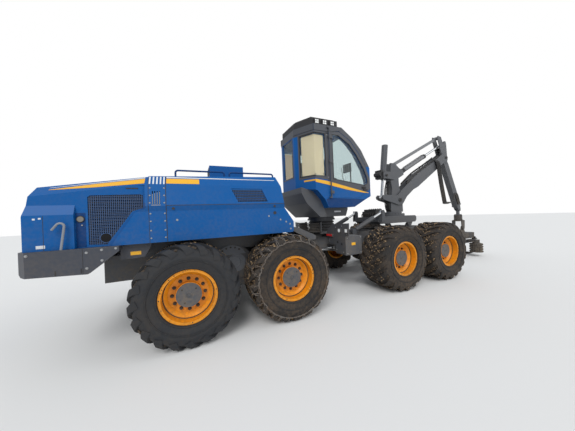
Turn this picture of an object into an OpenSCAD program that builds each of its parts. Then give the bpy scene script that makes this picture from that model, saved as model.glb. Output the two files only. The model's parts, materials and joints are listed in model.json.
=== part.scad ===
// Eight-wheeled forestry harvester: rear frame with engine and tanks, steered front frame
// with cab, tilting crane and harvester head. X runs forward, Y to the left, Z up.

/* [Wheels] */
// Outer diameter of a tyre over its lugs
tyre_od = 1345; // [1300:5:1380]
// Width of a tyre
tyre_w = 710; // [650:5:730]
// Height of the tread lugs
lug_h = 38; // [20:1:50]
// Diameter of the rim flange
rim_d = 704; // [680:2:720]
// Distance across the machine between tyre centres
track_w = 2280; // [2260:5:2320]
// Distance between the two wheels of a bogie
bogie_base = 1500; // [1480:5:1560]
// Diameter of the grey hub cover
hub_d = 330; // [280:5:360]
// Depth of the hub cover inside the rim flange
hub_depth = 98; // [80:1:120]

/* [Frames] */
// Distance between the rear and the front bogie pivots
bogie_span = 4042; // [4000:5:4100]
// Steering pivot ahead of the rear bogie pivot
steer_x = 2030; // [2000:5:2060]
// Half width of the frame beams
beam_half = 400; // [360:5:430]
// Lower edge of the frame beams above the ground
beam_z0 = 760; // [740:5:780]
// Upper edge of the frame beams above the ground
beam_z1 = 1200; // [1180:5:1215]
// Length of the rear platform
platform_l = 620; // [560:5:680]

/* [Body] */
// Width of the rear body
body_w = 2440; // [2360:10:2480]
// Underside of the rear body above the ground
body_z0 = 1380; // [1370:5:1400]
// Front end of the rear body, ahead of the rear bogie pivot
body_front = 900; // [860:5:930]
// Rear end of the hood, behind the rear bogie pivot
hood_rear = 2360; // [2300:5:2400]
// Joint between hood and tank body, behind the rear bogie pivot
hood_joint = 1190; // [1180:5:1210]
// Height of the tank body's roof above the ground
roof_z = 2330; // [2300:5:2360]

/* [Cab] */
// Cab turning axis ahead of the rear bogie pivot
cab_x = 2230; // [2200:5:2260]
// Width of the cab
cab_w = 1560; // [1500:10:1600]
// Underside of the cab shell above the ground
cab_z0 = 1790; // [1770:5:1810]
// Height of the cab's eaves above the ground
cab_z1 = 3500; // [3450:5:3550]
// Thickness of the cab's walls
cab_wall = 50; // [40:1:60]

/* [Crane] */
// Crane turning axis ahead of the front bogie pivot
crane_dx = 608; // [560:2:640]
// Height of the main boom's foot pin above the ground
foot_z = 1980; // [1960:5:2000]
// Length of the main boom between its pins
boom_l = 2693; // [2640:1:2740]
// Rise of the main boom as it stands, in degrees
boom_rise = 31.3; // [29:0.1:33]
// Length of the outer boom from its pin to the tip pin with the telescope closed
outer_l = 1924; // [1900:2:1980]
// Angle of the outer boom below the horizontal, in degrees
outer_fall = 66; // [62:0.5:70]
// Stroke of the telescope
tele_stroke = 1100; // [600:10:1150]

/* [Head] */
// Drop from the tip pin to the head's tilt axis
head_drop = 640; // [620:1:660]
// Length of the head's backbone
head_l = 1240; // [1180:5:1280]
// Diameter of a feed roller
roller_d = 360; // [330:2:380]

/* [Hidden] */

// Running clearance of a pin or shaft, and the gap between seated pieces
fit = 0.3;
// Gap between pieces that move past each other
gap = 6;
$fn = 48;

tyre_r = tyre_od / 2;
wheel_y = track_w / 2;
half_body = body_w / 2;
rear_end = hood_rear + 60;
// Inner limit of everything beside the wheels
wheel_side = wheel_y - tyre_w / 2 - 20;

// Colours as the photograph shows them
blue = [0.05, 0.27, 0.60];
dark = [0.20, 0.21, 0.24];
black = [0.05, 0.05, 0.055];
amber = [0.93, 0.55, 0.10];
grey = [0.42, 0.44, 0.47];
chrome = [0.85, 0.86, 0.88];
glass = [0.35, 0.42, 0.45, 0.4];

// Moves a piece from the rear bogie pivot to the machine's own origin
module placed() { translate([-mid_x, 0, 0]) children(); }

// Box between two corners
module block(a, b) { translate(a) cube(b - a); }

// Outline in the X-Z plane, extruded across Y between y0 and y1
module side_plate(points, y0, y1) {
    translate([0, y1, 0]) rotate([90, 0, 0]) linear_extrude(y1 - y0) polygon(points);
}

// Cylinder along Y between y0 and y1, centred at x and z
module cross_bar(x, z, d, y0, y1) {
    translate([x, y1, z]) rotate([90, 0, 0]) cylinder(d = d, h = y1 - y0);
}

// The same piece on the right and on the left
module both_sides() {
    children();
    mirror([0, 1, 0]) children();
}

// Wheels
rim_half = 305;
seat_r = 334;
wheel_disc = 24;
module rim() {
    flange_r = rim_d / 2;
    face = rim_half - hub_depth;
    color(amber) rotate([90, 0, 0]) {
        rotate_extrude($fn = 64) polygon([[seat_r - 16, -rim_half], [flange_r, -rim_half],
                                          [flange_r, -rim_half + 14], [seat_r, -rim_half + 30],
                                          [seat_r, rim_half - 30], [flange_r, rim_half - 14],
                                          [flange_r, rim_half], [seat_r - 16, rim_half]]);
        rotate_extrude($fn = 64) polygon([[0, face - 90], [seat_r - 60, face - 90],
                                          [seat_r - 20, face - 50], [seat_r - 10, face - 50],
                                          [seat_r - 10, face - 10], [seat_r - 40, face - 20],
                                          [seat_r - 80, face - 90 + wheel_disc],
                                          [hub_d / 2, face - 90 + wheel_disc], [hub_d / 2, face - 12],
                                          [hub_d / 2 - 12, face], [0, face]]);
    }
}

// Half of a tyre outline, in radius and offset across the tyre: over the lugs and between them
tread = [[seat_r + fit, -rim_half + 31], [rim_d / 2 + fit, -rim_half + 15],
         [rim_d / 2 + 14, -rim_half - 16], [tyre_r - 230, -tyre_w / 2 + 10], [tyre_r - 160, -tyre_w / 2],
         [tyre_r - 60, -tyre_w / 2 + 16], [tyre_r - 14, -tyre_w / 2 + 54], [tyre_r, -tyre_w / 2 + 120]];
carcass = [tread[0], tread[1], tread[2], [tyre_r - 230, -tyre_w / 2 + 12],
           [tyre_r - 160, -tyre_w / 2 + 4], [tyre_r - lug_h - 50, -tyre_w / 2 + 20],
           [tyre_r - lug_h - 12, -tyre_w / 2 + 66], [tyre_r - lug_h, -tyre_w / 2 + 130]];
lug_n = 20;
lug_sweep = 250;
module turned(half) {
    other = [for (i = [len(half) - 1:-1:0]) [half[i][0], -half[i][1]]];
    rotate([90, 0, 0]) rotate_extrude($fn = 64) polygon(concat(half, other));
}
module tyre() {
    color(black) union() {
        turned(carcass);
        intersection() {
            turned(tread);
            for (i = [0:lug_n - 1], side = [-1, 1])
                rotate([0, (i + side / 4) * 360 / lug_n, 0]) translate([0, 0, tyre_r - 170])
                    linear_extrude(180)
                    polygon([[-30, side * 10], [34, side * 10], [lug_sweep + 50, side * (tyre_w / 2 + 5)],
                             [lug_sweep - 46, side * (tyre_w / 2 + 5)]]);
        }
    }
}
wheel_x = [-bogie_base / 2, bogie_base / 2, bogie_span - bogie_base / 2, bogie_span + bogie_base / 2];
// Places a wheel piece at a station along the machine, on the right (-1) or the left (1)
module wheel_at(i, side) {
    placed() translate([wheel_x[i], side * wheel_y, tyre_r]) mirror([0, side > 0 ? 1 : 0, 0]) children();
}

// Bogies: gear cases between the wheels with their hubs, on an axle across the frame
case_y0 = 560;
case_y1 = wheel_y - tyre_w / 2 - 25;
bogie_pivot_z = 860;
cover_z = 900;
cover_d = 540;
module bogie_pair(x, colour) {
    hub_y = wheel_y + rim_half - hub_depth - 90 - fit;
    color(colour) placed() translate([x, 0, 0]) {
        both_sides() {
            side_plate([[-bogie_base / 2 - 150, tyre_r - 110], [-bogie_base / 2, tyre_r - 170],
                        [bogie_base / 2, tyre_r - 170], [bogie_base / 2 + 150, tyre_r - 110],
                        [bogie_base / 2 + 150, tyre_r + 90], [bogie_base / 2 + 40, tyre_r + 150],
                        [240, bogie_pivot_z + 190], [-240, bogie_pivot_z + 190],
                        [-bogie_base / 2 - 40, tyre_r + 150], [-bogie_base / 2 - 150, tyre_r + 90]],
                       case_y0, case_y1);
            for (s = [-1, 1]) cross_bar(s * bogie_base / 2, tyre_r, 300, case_y1 - 10, hub_y);
            cross_bar(0, bogie_pivot_z, 330, beam_half + fit, case_y0 + 10);
            difference() {
                cross_bar(0, cover_z, cover_d, case_y1 - 10, case_y1 + 13);
                for (a = [51:26:129]) cross_bar(cover_d * 0.41 * cos(a),
                                                cover_z + cover_d * 0.41 * sin(a), 40, case_y1 + 2,
                                                        case_y1 + 14);
            }
        }
    }
}

// Rear frame
ear_r = 190;
pin_r = 60;
tongue_z0 = 800;
tongue_z1 = 1130;
step_x1 = 1370;
module rear_chassis() {
    color(dark) placed() {
        both_sides() {
            block([-1900, beam_half - 40, beam_z0], [1560, beam_half, beam_z1]);
            block([-1760, beam_half - 41, beam_z1 - 60], [1440, case_y1 - 20, beam_z1]);
            block([1200, 660, beam_z1 - 1], [step_x1, 1100, beam_z1 + 60]);
            side_plate([[body_front + gap, 1400], [1000, 1345], [1200, 1245], [1240, 1210],
                        [step_x1 - 5, 1210], [step_x1 - 5, 1280], [1000, 1450], [body_front + gap, 1450]],
                       520, 1130);
            for (z = [steer_z - 60, steer_z + 34]) translate([0, 0, z]) linear_extrude(26)
                polygon([[steer_anchor[0] - 90, beam_half - 1], [steer_anchor[0] + 90, beam_half - 1],
                         [steer_anchor[0] + 40, steer_anchor[1] + 50],
                         [steer_anchor[0] - 40, steer_anchor[1] + 50]]);
            translate([steer_anchor[0], steer_anchor[1], steer_z - 60]) cylinder(d = 50, h = 120);
        }
        block([-1900, -beam_half + 1, beam_z0], [-1860, beam_half - 1, beam_z1]);
        block([1500, -beam_half + 1, beam_z0], [1560, beam_half - 1, beam_z1]);
        block([-1500, -beam_half + 1, beam_z0], [-1440, beam_half - 1, beam_z1 - 120]);
        block([-300, -beam_half + 1, beam_z0 + 1], [300, beam_half - 1, beam_z1 - 70]);
        block([-1720, -beam_half + 1, beam_z1 - 40], [-1080, beam_half - 1, beam_z1]);
        block([-1060, -wheel_side, beam_z1 - 1], [body_front - 30, wheel_side, body_z0 - fit]);
        for (z = [[tongue_z0 - 60, tongue_z0 - fit], [tongue_z1 + fit, tongue_z1 + 60]])
            translate([0, 0, z[0]]) linear_extrude(z[1] - z[0]) union() {
                translate([steer_x, 0]) circle(r = ear_r);
                polygon([[1559, -300], [steer_x, -ear_r], [steer_x, ear_r], [1559, 300]]);
            }
        translate([steer_x, 0, tongue_z0 - 61]) cylinder(r = pin_r, h = tongue_z1 - tongue_z0 + 122);
    }
}
module rear_bogies() { bogie_pair(0, dark); }
platform_z0 = 1110;
module rear_platform() {
    x0 = -hood_rear - 60;
    x1 = x0 + platform_l;
    color(dark) placed() difference() {
        union() {
            side_plate([[x0, platform_z0 + 30], [x0 + 30, platform_z0], [x1, platform_z0 - 30],
                        [x1 + 300, body_z0 - 60], [x1 + 300, body_z0 - fit], [x0, body_z0 - fit]],
                       -half_body - 40, half_body + 40);
        }
        block([x0 + 60, -half_body + 30, platform_z0 - 60], [x1 + 400, half_body - 30, body_z0 - 40]);
        both_sides() translate([0, 0, platform_z0 - 60]) linear_extrude(400)
            polygon([[x0 - 10, half_body - 90], [x0 + 110, half_body + 50], [x0 - 10, half_body + 50]]);
        for (s = [-1, 1]) translate([x0 - 5, s * 500, platform_z0 + 90]) rotate([0, 90, 0])
            cylinder(r = 26, h = 80);
    }
    color(dark) placed() both_sides() {
        block([x0 + 58, beam_half - 100, platform_z0 + 1], [-1900 - fit, beam_half, body_z0 - 39]);
        side_plate([[x1 + 280, 1190], [-1260, 1200], [-1180, 1350], [-1180, body_z0 - 1],
                    [x1 + 280, body_z0 - 1]], 1100, 1118);
    }
}
module engine_block() {
    color(grey) placed() block([-1980, -330, body_z0], [-1230, 330, 1950]);
}

// Cross-section in the Y-Z plane, extruded along X between x0 and x1
module cross_plate(points, x0, x1) {
    translate([x0, 0, 0]) rotate([90, 0, 90]) linear_extrude(x1 - x0) polygon(points);
}

// Hood over the engine, open below: corner boxes at the rear, a recess with the grille in each side
skin = 40;
hood_y = half_body - 70;
crease_z = 1860;
hood_low = 2110;
hood_top = 2275;
hood_slope = atan2(hood_top - hood_low, hood_rear - 55 - hood_joint);
hood_roof = [[-half_body - 20, -1300], [half_body + 20, -1300], [half_body + 20, -195], [half_body - 200, 0],
             [-half_body + 200, 0], [-half_body - 20, -195]];
corner_x = -1930;
cavity_y = 1000;
recess_edge = [[corner_x, body_z0 - 10], [-1600, body_z0 - 10], [-1335, 1780], [-1225, 1822],
               [-1225, 2140], [corner_x, 2140]];
vent_edge = [[-1815, 1410], [-1640, 1400], [-1370, 1800], [-1250, 1840], [-1250, 2005], [-1280, 2020],
             [-1790, 2005], [-1815, 1985]];
panel_in = 25;
function body_half(low, high) = [[half_body - panel_in, body_z0], [half_body - panel_in, crease_z - 70],
                                 [half_body, crease_z], [half_body - 60, low], [half_body - 190, high]];
function body_section(low, high) = let (h = body_half(low, high))
    concat(h, [for (i = [len(h) - 1:-1:0]) [-h[i][0], h[i][1]]]);
module rear_hood() {
    front = -hood_joint - fit;
    color(blue) placed() difference() {
        intersection() {
            cross_plate(body_section(2150, roof_z), -hood_rear - 10, front);
            translate([front, 0, hood_top]) rotate([0, -hood_slope, 0]) cross_plate(hood_roof, -1500, 60);
            side_plate([[-hood_rear, body_z0 - 1], [front + 1, body_z0 - 1], [front + 1, hood_top],
                        [-hood_rear + 55, hood_low],
                        [-hood_rear, 1760]], -half_body - 1, half_body + 1);
        }
        side_plate([[-hood_rear + skin, body_z0 - 2], [front + 2, body_z0 - 2], [front + 2,
                hood_top - skin],
                    [-hood_rear + 55 + skin, hood_low - skin], [-hood_rear + skin, 1760]], -cavity_y,
                            cavity_y);
        both_sides() {
            cross_plate([[hood_y, 1890], [half_body - panel_in + 1, 1776], [half_body + 10, 1776],
                         [half_body + 10, 2300], [hood_y, 2300]],
                        -hood_rear - 10, corner_x);
            side_plate(recess_edge, hood_y, half_body + 10);
            side_plate(vent_edge, cavity_y - 10, half_body);
        }
    }
}
module hood_grilles() {
    color(black) placed() both_sides() difference() {
        side_plate(inset(vent_edge, fit), hood_y - 34, hood_y - 14);
        intersection() {
            side_plate(inset(vent_edge, 26), hood_y - 40, hood_y);
            for (z = [1440:44:1990]) block([-1850, hood_y - 50, z], [-1200, hood_y + 10, z + 26]);
        }
    }
}

// Tank body in front of the hood: fuel and oil tanks behind closed panels
tank_vent = [[-26, 1900], [448, 1900], [365, 2105], [-121, 2105]];
roof_box = [[-370, -640], [200, -160]];
module tank_body() {
    half = half_body;
    color(blue) placed() difference() {
        union() {
            intersection() {
                cross_plate(body_section(2150, roof_z), -hood_joint, body_front);
                side_plate([[-hood_joint - 1, body_z0 - 1], [body_front - 20, body_z0 - 1],
                            [body_front, body_z0 + 50], [body_front, 1560], [body_front - 160, 1800],
                            [body_front - 170, 1860], [body_front - 195, 2150],
                            [body_front - 240, roof_z + 1], [-hood_joint - 1, hood_top]], -half - 1,
                           half + 1);
            }
            block([roof_box[0][0], roof_box[0][1], roof_z - 60],
                  [roof_box[1][0], roof_box[1][1], roof_z + 235]);
        }
        both_sides() {
            difference() {
                side_plate(tank_vent, half - 75, half + 10);
                for (z = [1925:40:2085]) block([-150, half - 76, z], [470, half - 54, z + 14]);
            }
            for (x = [-1145:27:-1064]) block([x, half - 60, 1880], [x + 13, half + 10, 2060]);
        }
    }
}
rail_d = 34;
rail_ends = [[-870, -180], [-100, 640]];
function roof_at(x) = hood_top + (x + hood_joint) * (roof_z - hood_top) / (body_front - 240 + hood_joint);
module hand_rails() {
    color(dark) placed() both_sides() {
        y = half_body - 260;
        for (r = rail_ends) {
            translate([r[0], y, roof_z + 60]) rotate([0, 90, 0]) cylinder(d = rail_d, h = r[1] - r[0]);
            for (x = r) translate([x, y, roof_at(x) + 1])
                cylinder(d = rail_d, h = roof_z + 59 + rail_d / 2 - roof_at(x));
        }
        translate([-2000, half_body + 20, body_z0]) cylinder(d = rail_d, h = 300);
        translate([-2000, half_body + 20, body_z0 + 295]) rotate([0, -135, 0]) cylinder(d = rail_d,
                h = 120);
    }
}

// Front frame
steer_arm = [200, 480];
steer_z = 900;
steer_anchor = [1000, 530];
crane_x = bogie_span + crane_dx;
tilt_pin = [steer_x + 770, 1225];
tilt_top = [crane_x - 910, 1640];
tilt_y = 480;
hinge_x = crane_x + 250;
hinge_z = 1270;
hinge_pin = 70;
chassis_end = bogie_span + 1408;
front_start = steer_x + 420;
module ear_pair(y, w, thick, points) {
    side_plate(points, y - w / 2 - thick, y - w / 2);
    side_plate(points, y + w / 2, y + w / 2 + thick);
}
module front_chassis() {
    color(dark) placed() difference() {
        union() {
            both_sides() block([front_start, beam_half - 40, beam_z0], [chassis_end, beam_half, beam_z1]);
            for (x = [front_start, front_start + 610, bogie_span - 442, bogie_span + 458, chassis_end - 40])
                block([x, -beam_half + 1, beam_z0 + 1], [x + 40, beam_half - 1, beam_z1 - 1]);
            block([bogie_span - 300, -beam_half + 1, beam_z0 + 1],
                  [bogie_span + 300, beam_half - 1, beam_z1 - 70]);
            translate([0, 0, tongue_z0]) linear_extrude(tongue_z1 - tongue_z0) union() {
                translate([steer_x, 0]) circle(r = 160);
                polygon([[steer_x, -160], [front_start + 1, -beam_half], [front_start + 1, beam_half],
                         [steer_x, 160]]);
            }
            both_sides() for (z = [steer_z - 60, steer_z + 34]) translate([0, 0, z]) linear_extrude(26)
                polygon([[steer_x + 160, 250], [steer_x + 160, 530], [steer_x + 240, 530],
                         [steer_x + 421, beam_half - 1]]);
            block([cab_x - 250, -360, beam_z1 + 15], [cab_x + 530, 360, beam_z1 + 60]);
            both_sides() block([cab_x + 230, beam_half - 60, beam_z1 - 1],
                               [cab_x + 510, beam_half - 20, beam_z1 + 16]);
            translate([cab_x, 0, beam_z1 + 59]) cylinder(d = 560, h = 260);
            translate([cab_x, 0, beam_z1 + 318]) cylinder(d = 660, h = 42);
            both_sides() {
                ear_pair(tilt_y, 52, 25, [[tilt_pin[0] - 60, beam_z1 - 120], [tilt_pin[0] - 60, 1270],
                                          [tilt_pin[0] - 20, 1300],
                                          [tilt_pin[0] + 50, 1270], [tilt_pin[0] + 80, beam_z1 - 120]]);
                block([tilt_pin[0] - 60, beam_half - 1, beam_z1 - 130],
                      [tilt_pin[0] + 80, tilt_y + 51, beam_z1 - 90]);
                cross_bar(tilt_pin[0], tilt_pin[1], 60, tilt_y - 45, tilt_y + 45);
                side_plate([[hinge_x - 120, beam_z1 - 130], [hinge_x - 120, beam_z1],
                            [hinge_x - 40, hinge_z + 50], [hinge_x + 40, hinge_z + 50],
                            [hinge_x + 120, beam_z1], [hinge_x + 120, beam_z1 - 130]], 300, 361);
                cross_bar(hinge_x, hinge_z, hinge_pin, 360, 410);
            }
            block([chassis_end - 1, -560, beam_z1 - 40], [chassis_end + 150, 560, beam_z1 - 1]);
            side_plate([[chassis_end - 1, beam_z0], [chassis_end + 150, beam_z1 - 39],
                        [chassis_end - 1, beam_z1 - 39]], -540, 540);
        }
        translate([steer_x, 0, tongue_z0 - 1]) cylinder(r = pin_r + fit, h = tongue_z1 - tongue_z0 + 2);
    }
}
module front_bogies() { bogie_pair(bogie_span, dark); }
box_x1 = bogie_span - bogie_base / 2 - tyre_r - 110;
box_x0 = box_x1 - 400;
box_in = 720;
lamp_z = 1310;
module side_boxes() {
    color(dark) placed() both_sides() {
        block([box_x0, box_in, 815], [box_x1, 1050, 1190]);
        cross_plate([[box_in, 850], [1050, 815], [1060, 1190], [1150, 1215], [1165, 1460], [620, 1430],
                     [430, 1290], [430, 1010], [box_in, 1010]], box_x0 - 16, box_x0 + 1);
        block([box_x1 - 55, beam_half + fit, 860], [box_x1, box_in + 1, 1100]);
        block([box_x0, 900, 1189], [box_x0 + 200, 916, 1400]);
        translate([box_x0 - 40, 890, lamp_z]) rotate([0, 90, 0]) cylinder(d = 90, h = 60);
        block([box_x0 - 36, 1060, lamp_z - 40], [box_x0, 1140, lamp_z + 40]);
        block([box_x0 - 46, 440, 1170], [box_x0 - 15, 660, 1225]);
    }
}

// Inner outline at a distance inside a closed outline given counter-clockwise
function unit(v) = v / norm(v);
function edge(p, i) = unit(p[(i + 1) % len(p)] - p[i % len(p)]);
function inset(p, d) = [for (i = [0:len(p) - 1])
    let (a = edge(p, (i + len(p) - 1) % len(p)), b = edge(p, i), c = a[0] * b[1] - a[1] * b[0])
    p[i] + (abs(c) < 0.001 ? d * [-b[1], b[0]] : d * (b - a) / c)];

// Cab outline seen from above and from the side, from its turning axis
cab_half = cab_w / 2;
nose_x = 985;
cab_rear = -830;
cab_plan = [[cab_rear, -340], [-600, -cab_half], [860, -cab_half], [nose_x, -560],
            [nose_x, 560], [860, cab_half], [-600, cab_half], [cab_rear, 340]];
cab_side = [[cab_rear, 2230], [-560, 2150], [-380, 1960], [-300, cab_z0], [380, cab_z0], [680, 1940],
            [960, 2070], [nose_x, 2150], [950, 2440], [840, 2700], [630, 3060], [400, 3300],
            [110, cab_z1], [cab_rear, cab_z1]];
module cab_form(d) {
    intersection() {
        translate([0, 0, cab_z0 - 100]) linear_extrude(cab_z1 - cab_z0 + 200) polygon(inset(cab_plan, d));
        side_plate(inset(cab_side, d), -cab_half - 1, cab_half + 1);
    }
}
door_edge = [[-230, 1990], [520, 1990], [850, 2180], [850, 2420], [740, 2690], [540, 2990], [320, 3240],
             [40, 3400], [-230, 3400]];
door_light = [[-150, 2390], [700, 2270], [780, 2330], [770, 2430], [680, 2640], [490, 2930], [290, 3160],
              [10, 3320], [-150, 3320]];
// Everything that is open or glazed in the shell
module cab_openings(grow) {
    both_sides() {
        block([-770 - grow, 300, 2440 - grow], [-330 + grow, cab_half + 10, 3330 + grow]);
    }
    side_plate(inset(door_light, -grow), cab_half - 120, cab_half + 10);
    block([150, -520 - grow, 2300 - grow], [nose_x + 40, 520 + grow, 3380 + grow]);
    block([cab_rear - 10, -250 - grow, 2500 - grow], [cab_rear + 90, 250 + grow, 3330 + grow]);
}
// The door turns on a post that stands off the rear door pillar
post_x = -240;
post_off = 32;
post_d = 24;
post_z = [1990, 3440];
knuckle_z = [2080, 2720, 3230];
module cab_shell() {
    color(blue) placed() translate([cab_x, 0, 0]) difference() {
        cab_form(0);
        cab_form(cab_wall);
        cab_openings(0);
        side_plate(inset(door_edge, -gap), -cab_half - 10, -cab_half + 120);
    }
    color(grey) placed() translate([cab_x + post_x, -cab_half - post_off, 0]) {
        translate([0, 0, post_z[0]]) cylinder(d = post_d, h = post_z[1] - post_z[0]);
        for (z = post_z) block([-40, -post_d / 2, z - 1], [-12, post_off + 1, z + 25]);
        for (z = post_z) block([-41, -post_d / 2, z - 1], [12, post_d / 2, z + 25]);
    }
}
pane_out = 18;
pane_in = 26;
module cab_glass() {
    color(glass) placed() translate([cab_x, 0, 0]) intersection() {
        difference() {
            cab_form(pane_out);
            cab_form(pane_in);
        }
        cab_openings(-fit);
    }
}
module cab_door() {
    color(blue) placed() translate([cab_x, 0, 0]) difference() {
        side_plate(door_edge, -cab_half, -cab_half + cab_wall - 4);
        side_plate(door_light, -cab_half - 10, -cab_half + cab_wall + 10);
    }
    color(blue) placed() translate([cab_x + post_x, -cab_half - post_off, 0])
        for (z = knuckle_z) translate([0, 0, z]) difference() {
            union() {
                cylinder(d = post_d + 20, h = 60);
                block([10, -5, 0], [70, post_off + 1, 60]);
            }
            translate([0, 0, -1]) cylinder(d = post_d + 2 * fit, h = 62);
        }
}
module door_glass() {
    color(glass) placed() translate([cab_x, 0, 0])
        side_plate(inset(door_light, fit), -cab_half + pane_out, -cab_half + pane_in);
}
module cab_roof() {
    z0 = cab_z1 + fit;
    color(black) placed() translate([cab_x, 0, 0]) union() {
        translate([0, 0, z0]) linear_extrude(150)
            polygon([[-800, -320], [-590, -720], [40, -720], [120, -560], [120, 560], [40, 720],
                     [-590, 720], [-800, 320]]);
        translate([0, 0, z0 + 149]) linear_extrude(50)
            polygon([[-740, -280], [-560, -640], [0, -640], [60, -500], [60, 500], [0, 640], [-560, 640],
                     [-740, 280]]);
        both_sides() for (x = [-550, -360, -170]) block([x, 719, z0 + 22], [x + 130, 746, z0 + 128]);
        for (y = [-475, -255, 125, 345]) block([119, y, z0 + 22], [146, y + 130, z0 + 128]);
    }
}
module cab_base() {
    color(black) placed() translate([cab_x, 0, 0]) union() {
        translate([0, 0, beam_z1 + 360 + fit]) cylinder(d = 620, h = 41);
        side_plate([[-250, 1600], [340, 1600], [400, cab_z0 - 40], [400, cab_z0 - fit],
                    [-290, cab_z0 - fit]], -520, 520);
        side_plate([[cab_rear, 2110], [-720, 1900], [-400, 1600], [-249, 1600], [-289, cab_z0 - fit],
                    [-300, cab_z0 - fit], [-381, 1959.6], [-560.4, 2149.4], [cab_rear, 2229]], -600, 600);
    }
}
module cab_seat() {
    z0 = cab_z0 + cab_wall + fit;
    color(black) placed() translate([cab_x, 0, 0]) union() {
        translate([-60, 0, z0]) cylinder(d = 320, h = 300);
        block([-330, -260, z0 + 299], [230, 260, z0 + 420]);
        side_plate([[-330, z0 + 400], [-200, z0 + 400], [-270, z0 + 1100], [-380, z0 + 1100]], -240, 240);
        both_sides() block([-260, 270, z0 + 520], [220, 360, z0 + 600]);
        both_sides() block([-310, 240, z0 + 300], [-240, 290, z0 + 560]);
    }
}

// Hydraulic cylinders, drawn along X from the pin of the barrel
module ram_barrel(d, l, rod_d, eye_w, pin_d, start) {
    difference() {
        union() {
            cross_bar(0, 0, pin_d + 60, -eye_w / 2, eye_w / 2);
            translate([start, 0, 0]) rotate([0, 90, 0]) cylinder(d = d, h = l - start);
            translate([20, -eye_w / 2, -pin_d / 2 - 10]) cube([start - 19, eye_w, pin_d + 20]);
        }
        cross_bar(0, 0, pin_d + 2 * fit, -eye_w, eye_w);
        translate([start + 30, 0, 0]) rotate([0, 90, 0]) cylinder(d = rod_d + 2 * fit, h = l);
    }
}
// The rod from its inner end to the eye at the given reach, with its own pin
module ram_rod(inner, reach, rod_d, eye_w, pin_d) {
    translate([inner, 0, 0]) rotate([0, 90, 0]) cylinder(d = rod_d, h = reach - inner - 10);
    cross_bar(reach, 0, pin_d + 50, -eye_w / 2, eye_w / 2);
}
module at_pin(x, y, z, rise) { translate([x, y, z]) rotate([0, -rise, 0]) children(); }

// Steering cylinders lie flat beside the neck
steer_len = norm([steer_x + steer_arm[0], steer_arm[1]] - steer_anchor);
steer_turn = atan2(steer_arm[1] - steer_anchor[1], steer_x + steer_arm[0] - steer_anchor[0]);
module steer_place(side) {
    placed() mirror([0, side > 0 ? 0 : 1, 0]) translate([steer_anchor[0], steer_anchor[1], steer_z])
        rotate([0, 0, steer_turn]) rotate([90, 0, 0]) children();
}
module steer_barrel(side) { color(dark) steer_place(side) ram_barrel(90, 830, 50, 56, 50, 70); }
module steer_rod(side) { color(chrome) steer_place(side) ram_rod(404, steer_len, 50, 56, 40); }

// Crane base, tilted by two cylinders
tilt_len = norm(tilt_top - tilt_pin);
tilt_rise = atan2(tilt_top[1] - tilt_pin[1], tilt_top[0] - tilt_pin[0]);
base_z0 = 1340;
base_z1 = 1520;
ring_h = 60;
module crane_base() {
    color(dark) placed() difference() {
        union() {
            side_plate([[tilt_top[0] - 60, base_z0 + 60], [tilt_top[0] + 20, base_z0],
                        [hinge_x + 200, base_z0], [hinge_x + 250, base_z0 + 60],
                        [hinge_x + 250, base_z1 - 40], [hinge_x + 200, base_z1],
                        [tilt_top[0] - 60, base_z1]], -420, 420);
            translate([crane_x, 0, base_z1 - 1]) cylinder(d = 700, h = ring_h + 1);
            both_sides() {
                side_plate([[hinge_x - 110, base_z0 + 1], [hinge_x - 40, hinge_z - 45],
                            [hinge_x + 40, hinge_z - 45], [hinge_x + 110, base_z0 + 1]], 366, 400);
                block([tilt_top[0] - 50, 419, base_z0 + 60],
                      [tilt_top[0] + 50, tilt_y + 51, base_z0 + 100]);
                ear_pair(tilt_y, 64, 22, [[tilt_top[0] - 50, base_z0 + 80],
                                          [tilt_top[0] + 50, base_z0 + 80],
                                          [tilt_top[0] + 60, tilt_top[1] + 10],
                                          [tilt_top[0] + 30, tilt_top[1] + 60],
                                          [tilt_top[0] - 30, tilt_top[1] + 60]]);
            }
        }
        both_sides() cross_bar(hinge_x, hinge_z, hinge_pin + 2 * fit, 360, 420);
    }
}
module tilt_barrels() {
    color(dark) placed() both_sides() at_pin(tilt_pin[0], tilt_y, tilt_pin[1], tilt_rise) ram_barrel(110,
            700, 60, 50, 60, 80);
}
module tilt_rods() {
    color(chrome) placed() both_sides() at_pin(tilt_pin[0], tilt_y, tilt_pin[1], tilt_rise) ram_rod(330,
            tilt_len, 60, 50, 50);
}

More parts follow.
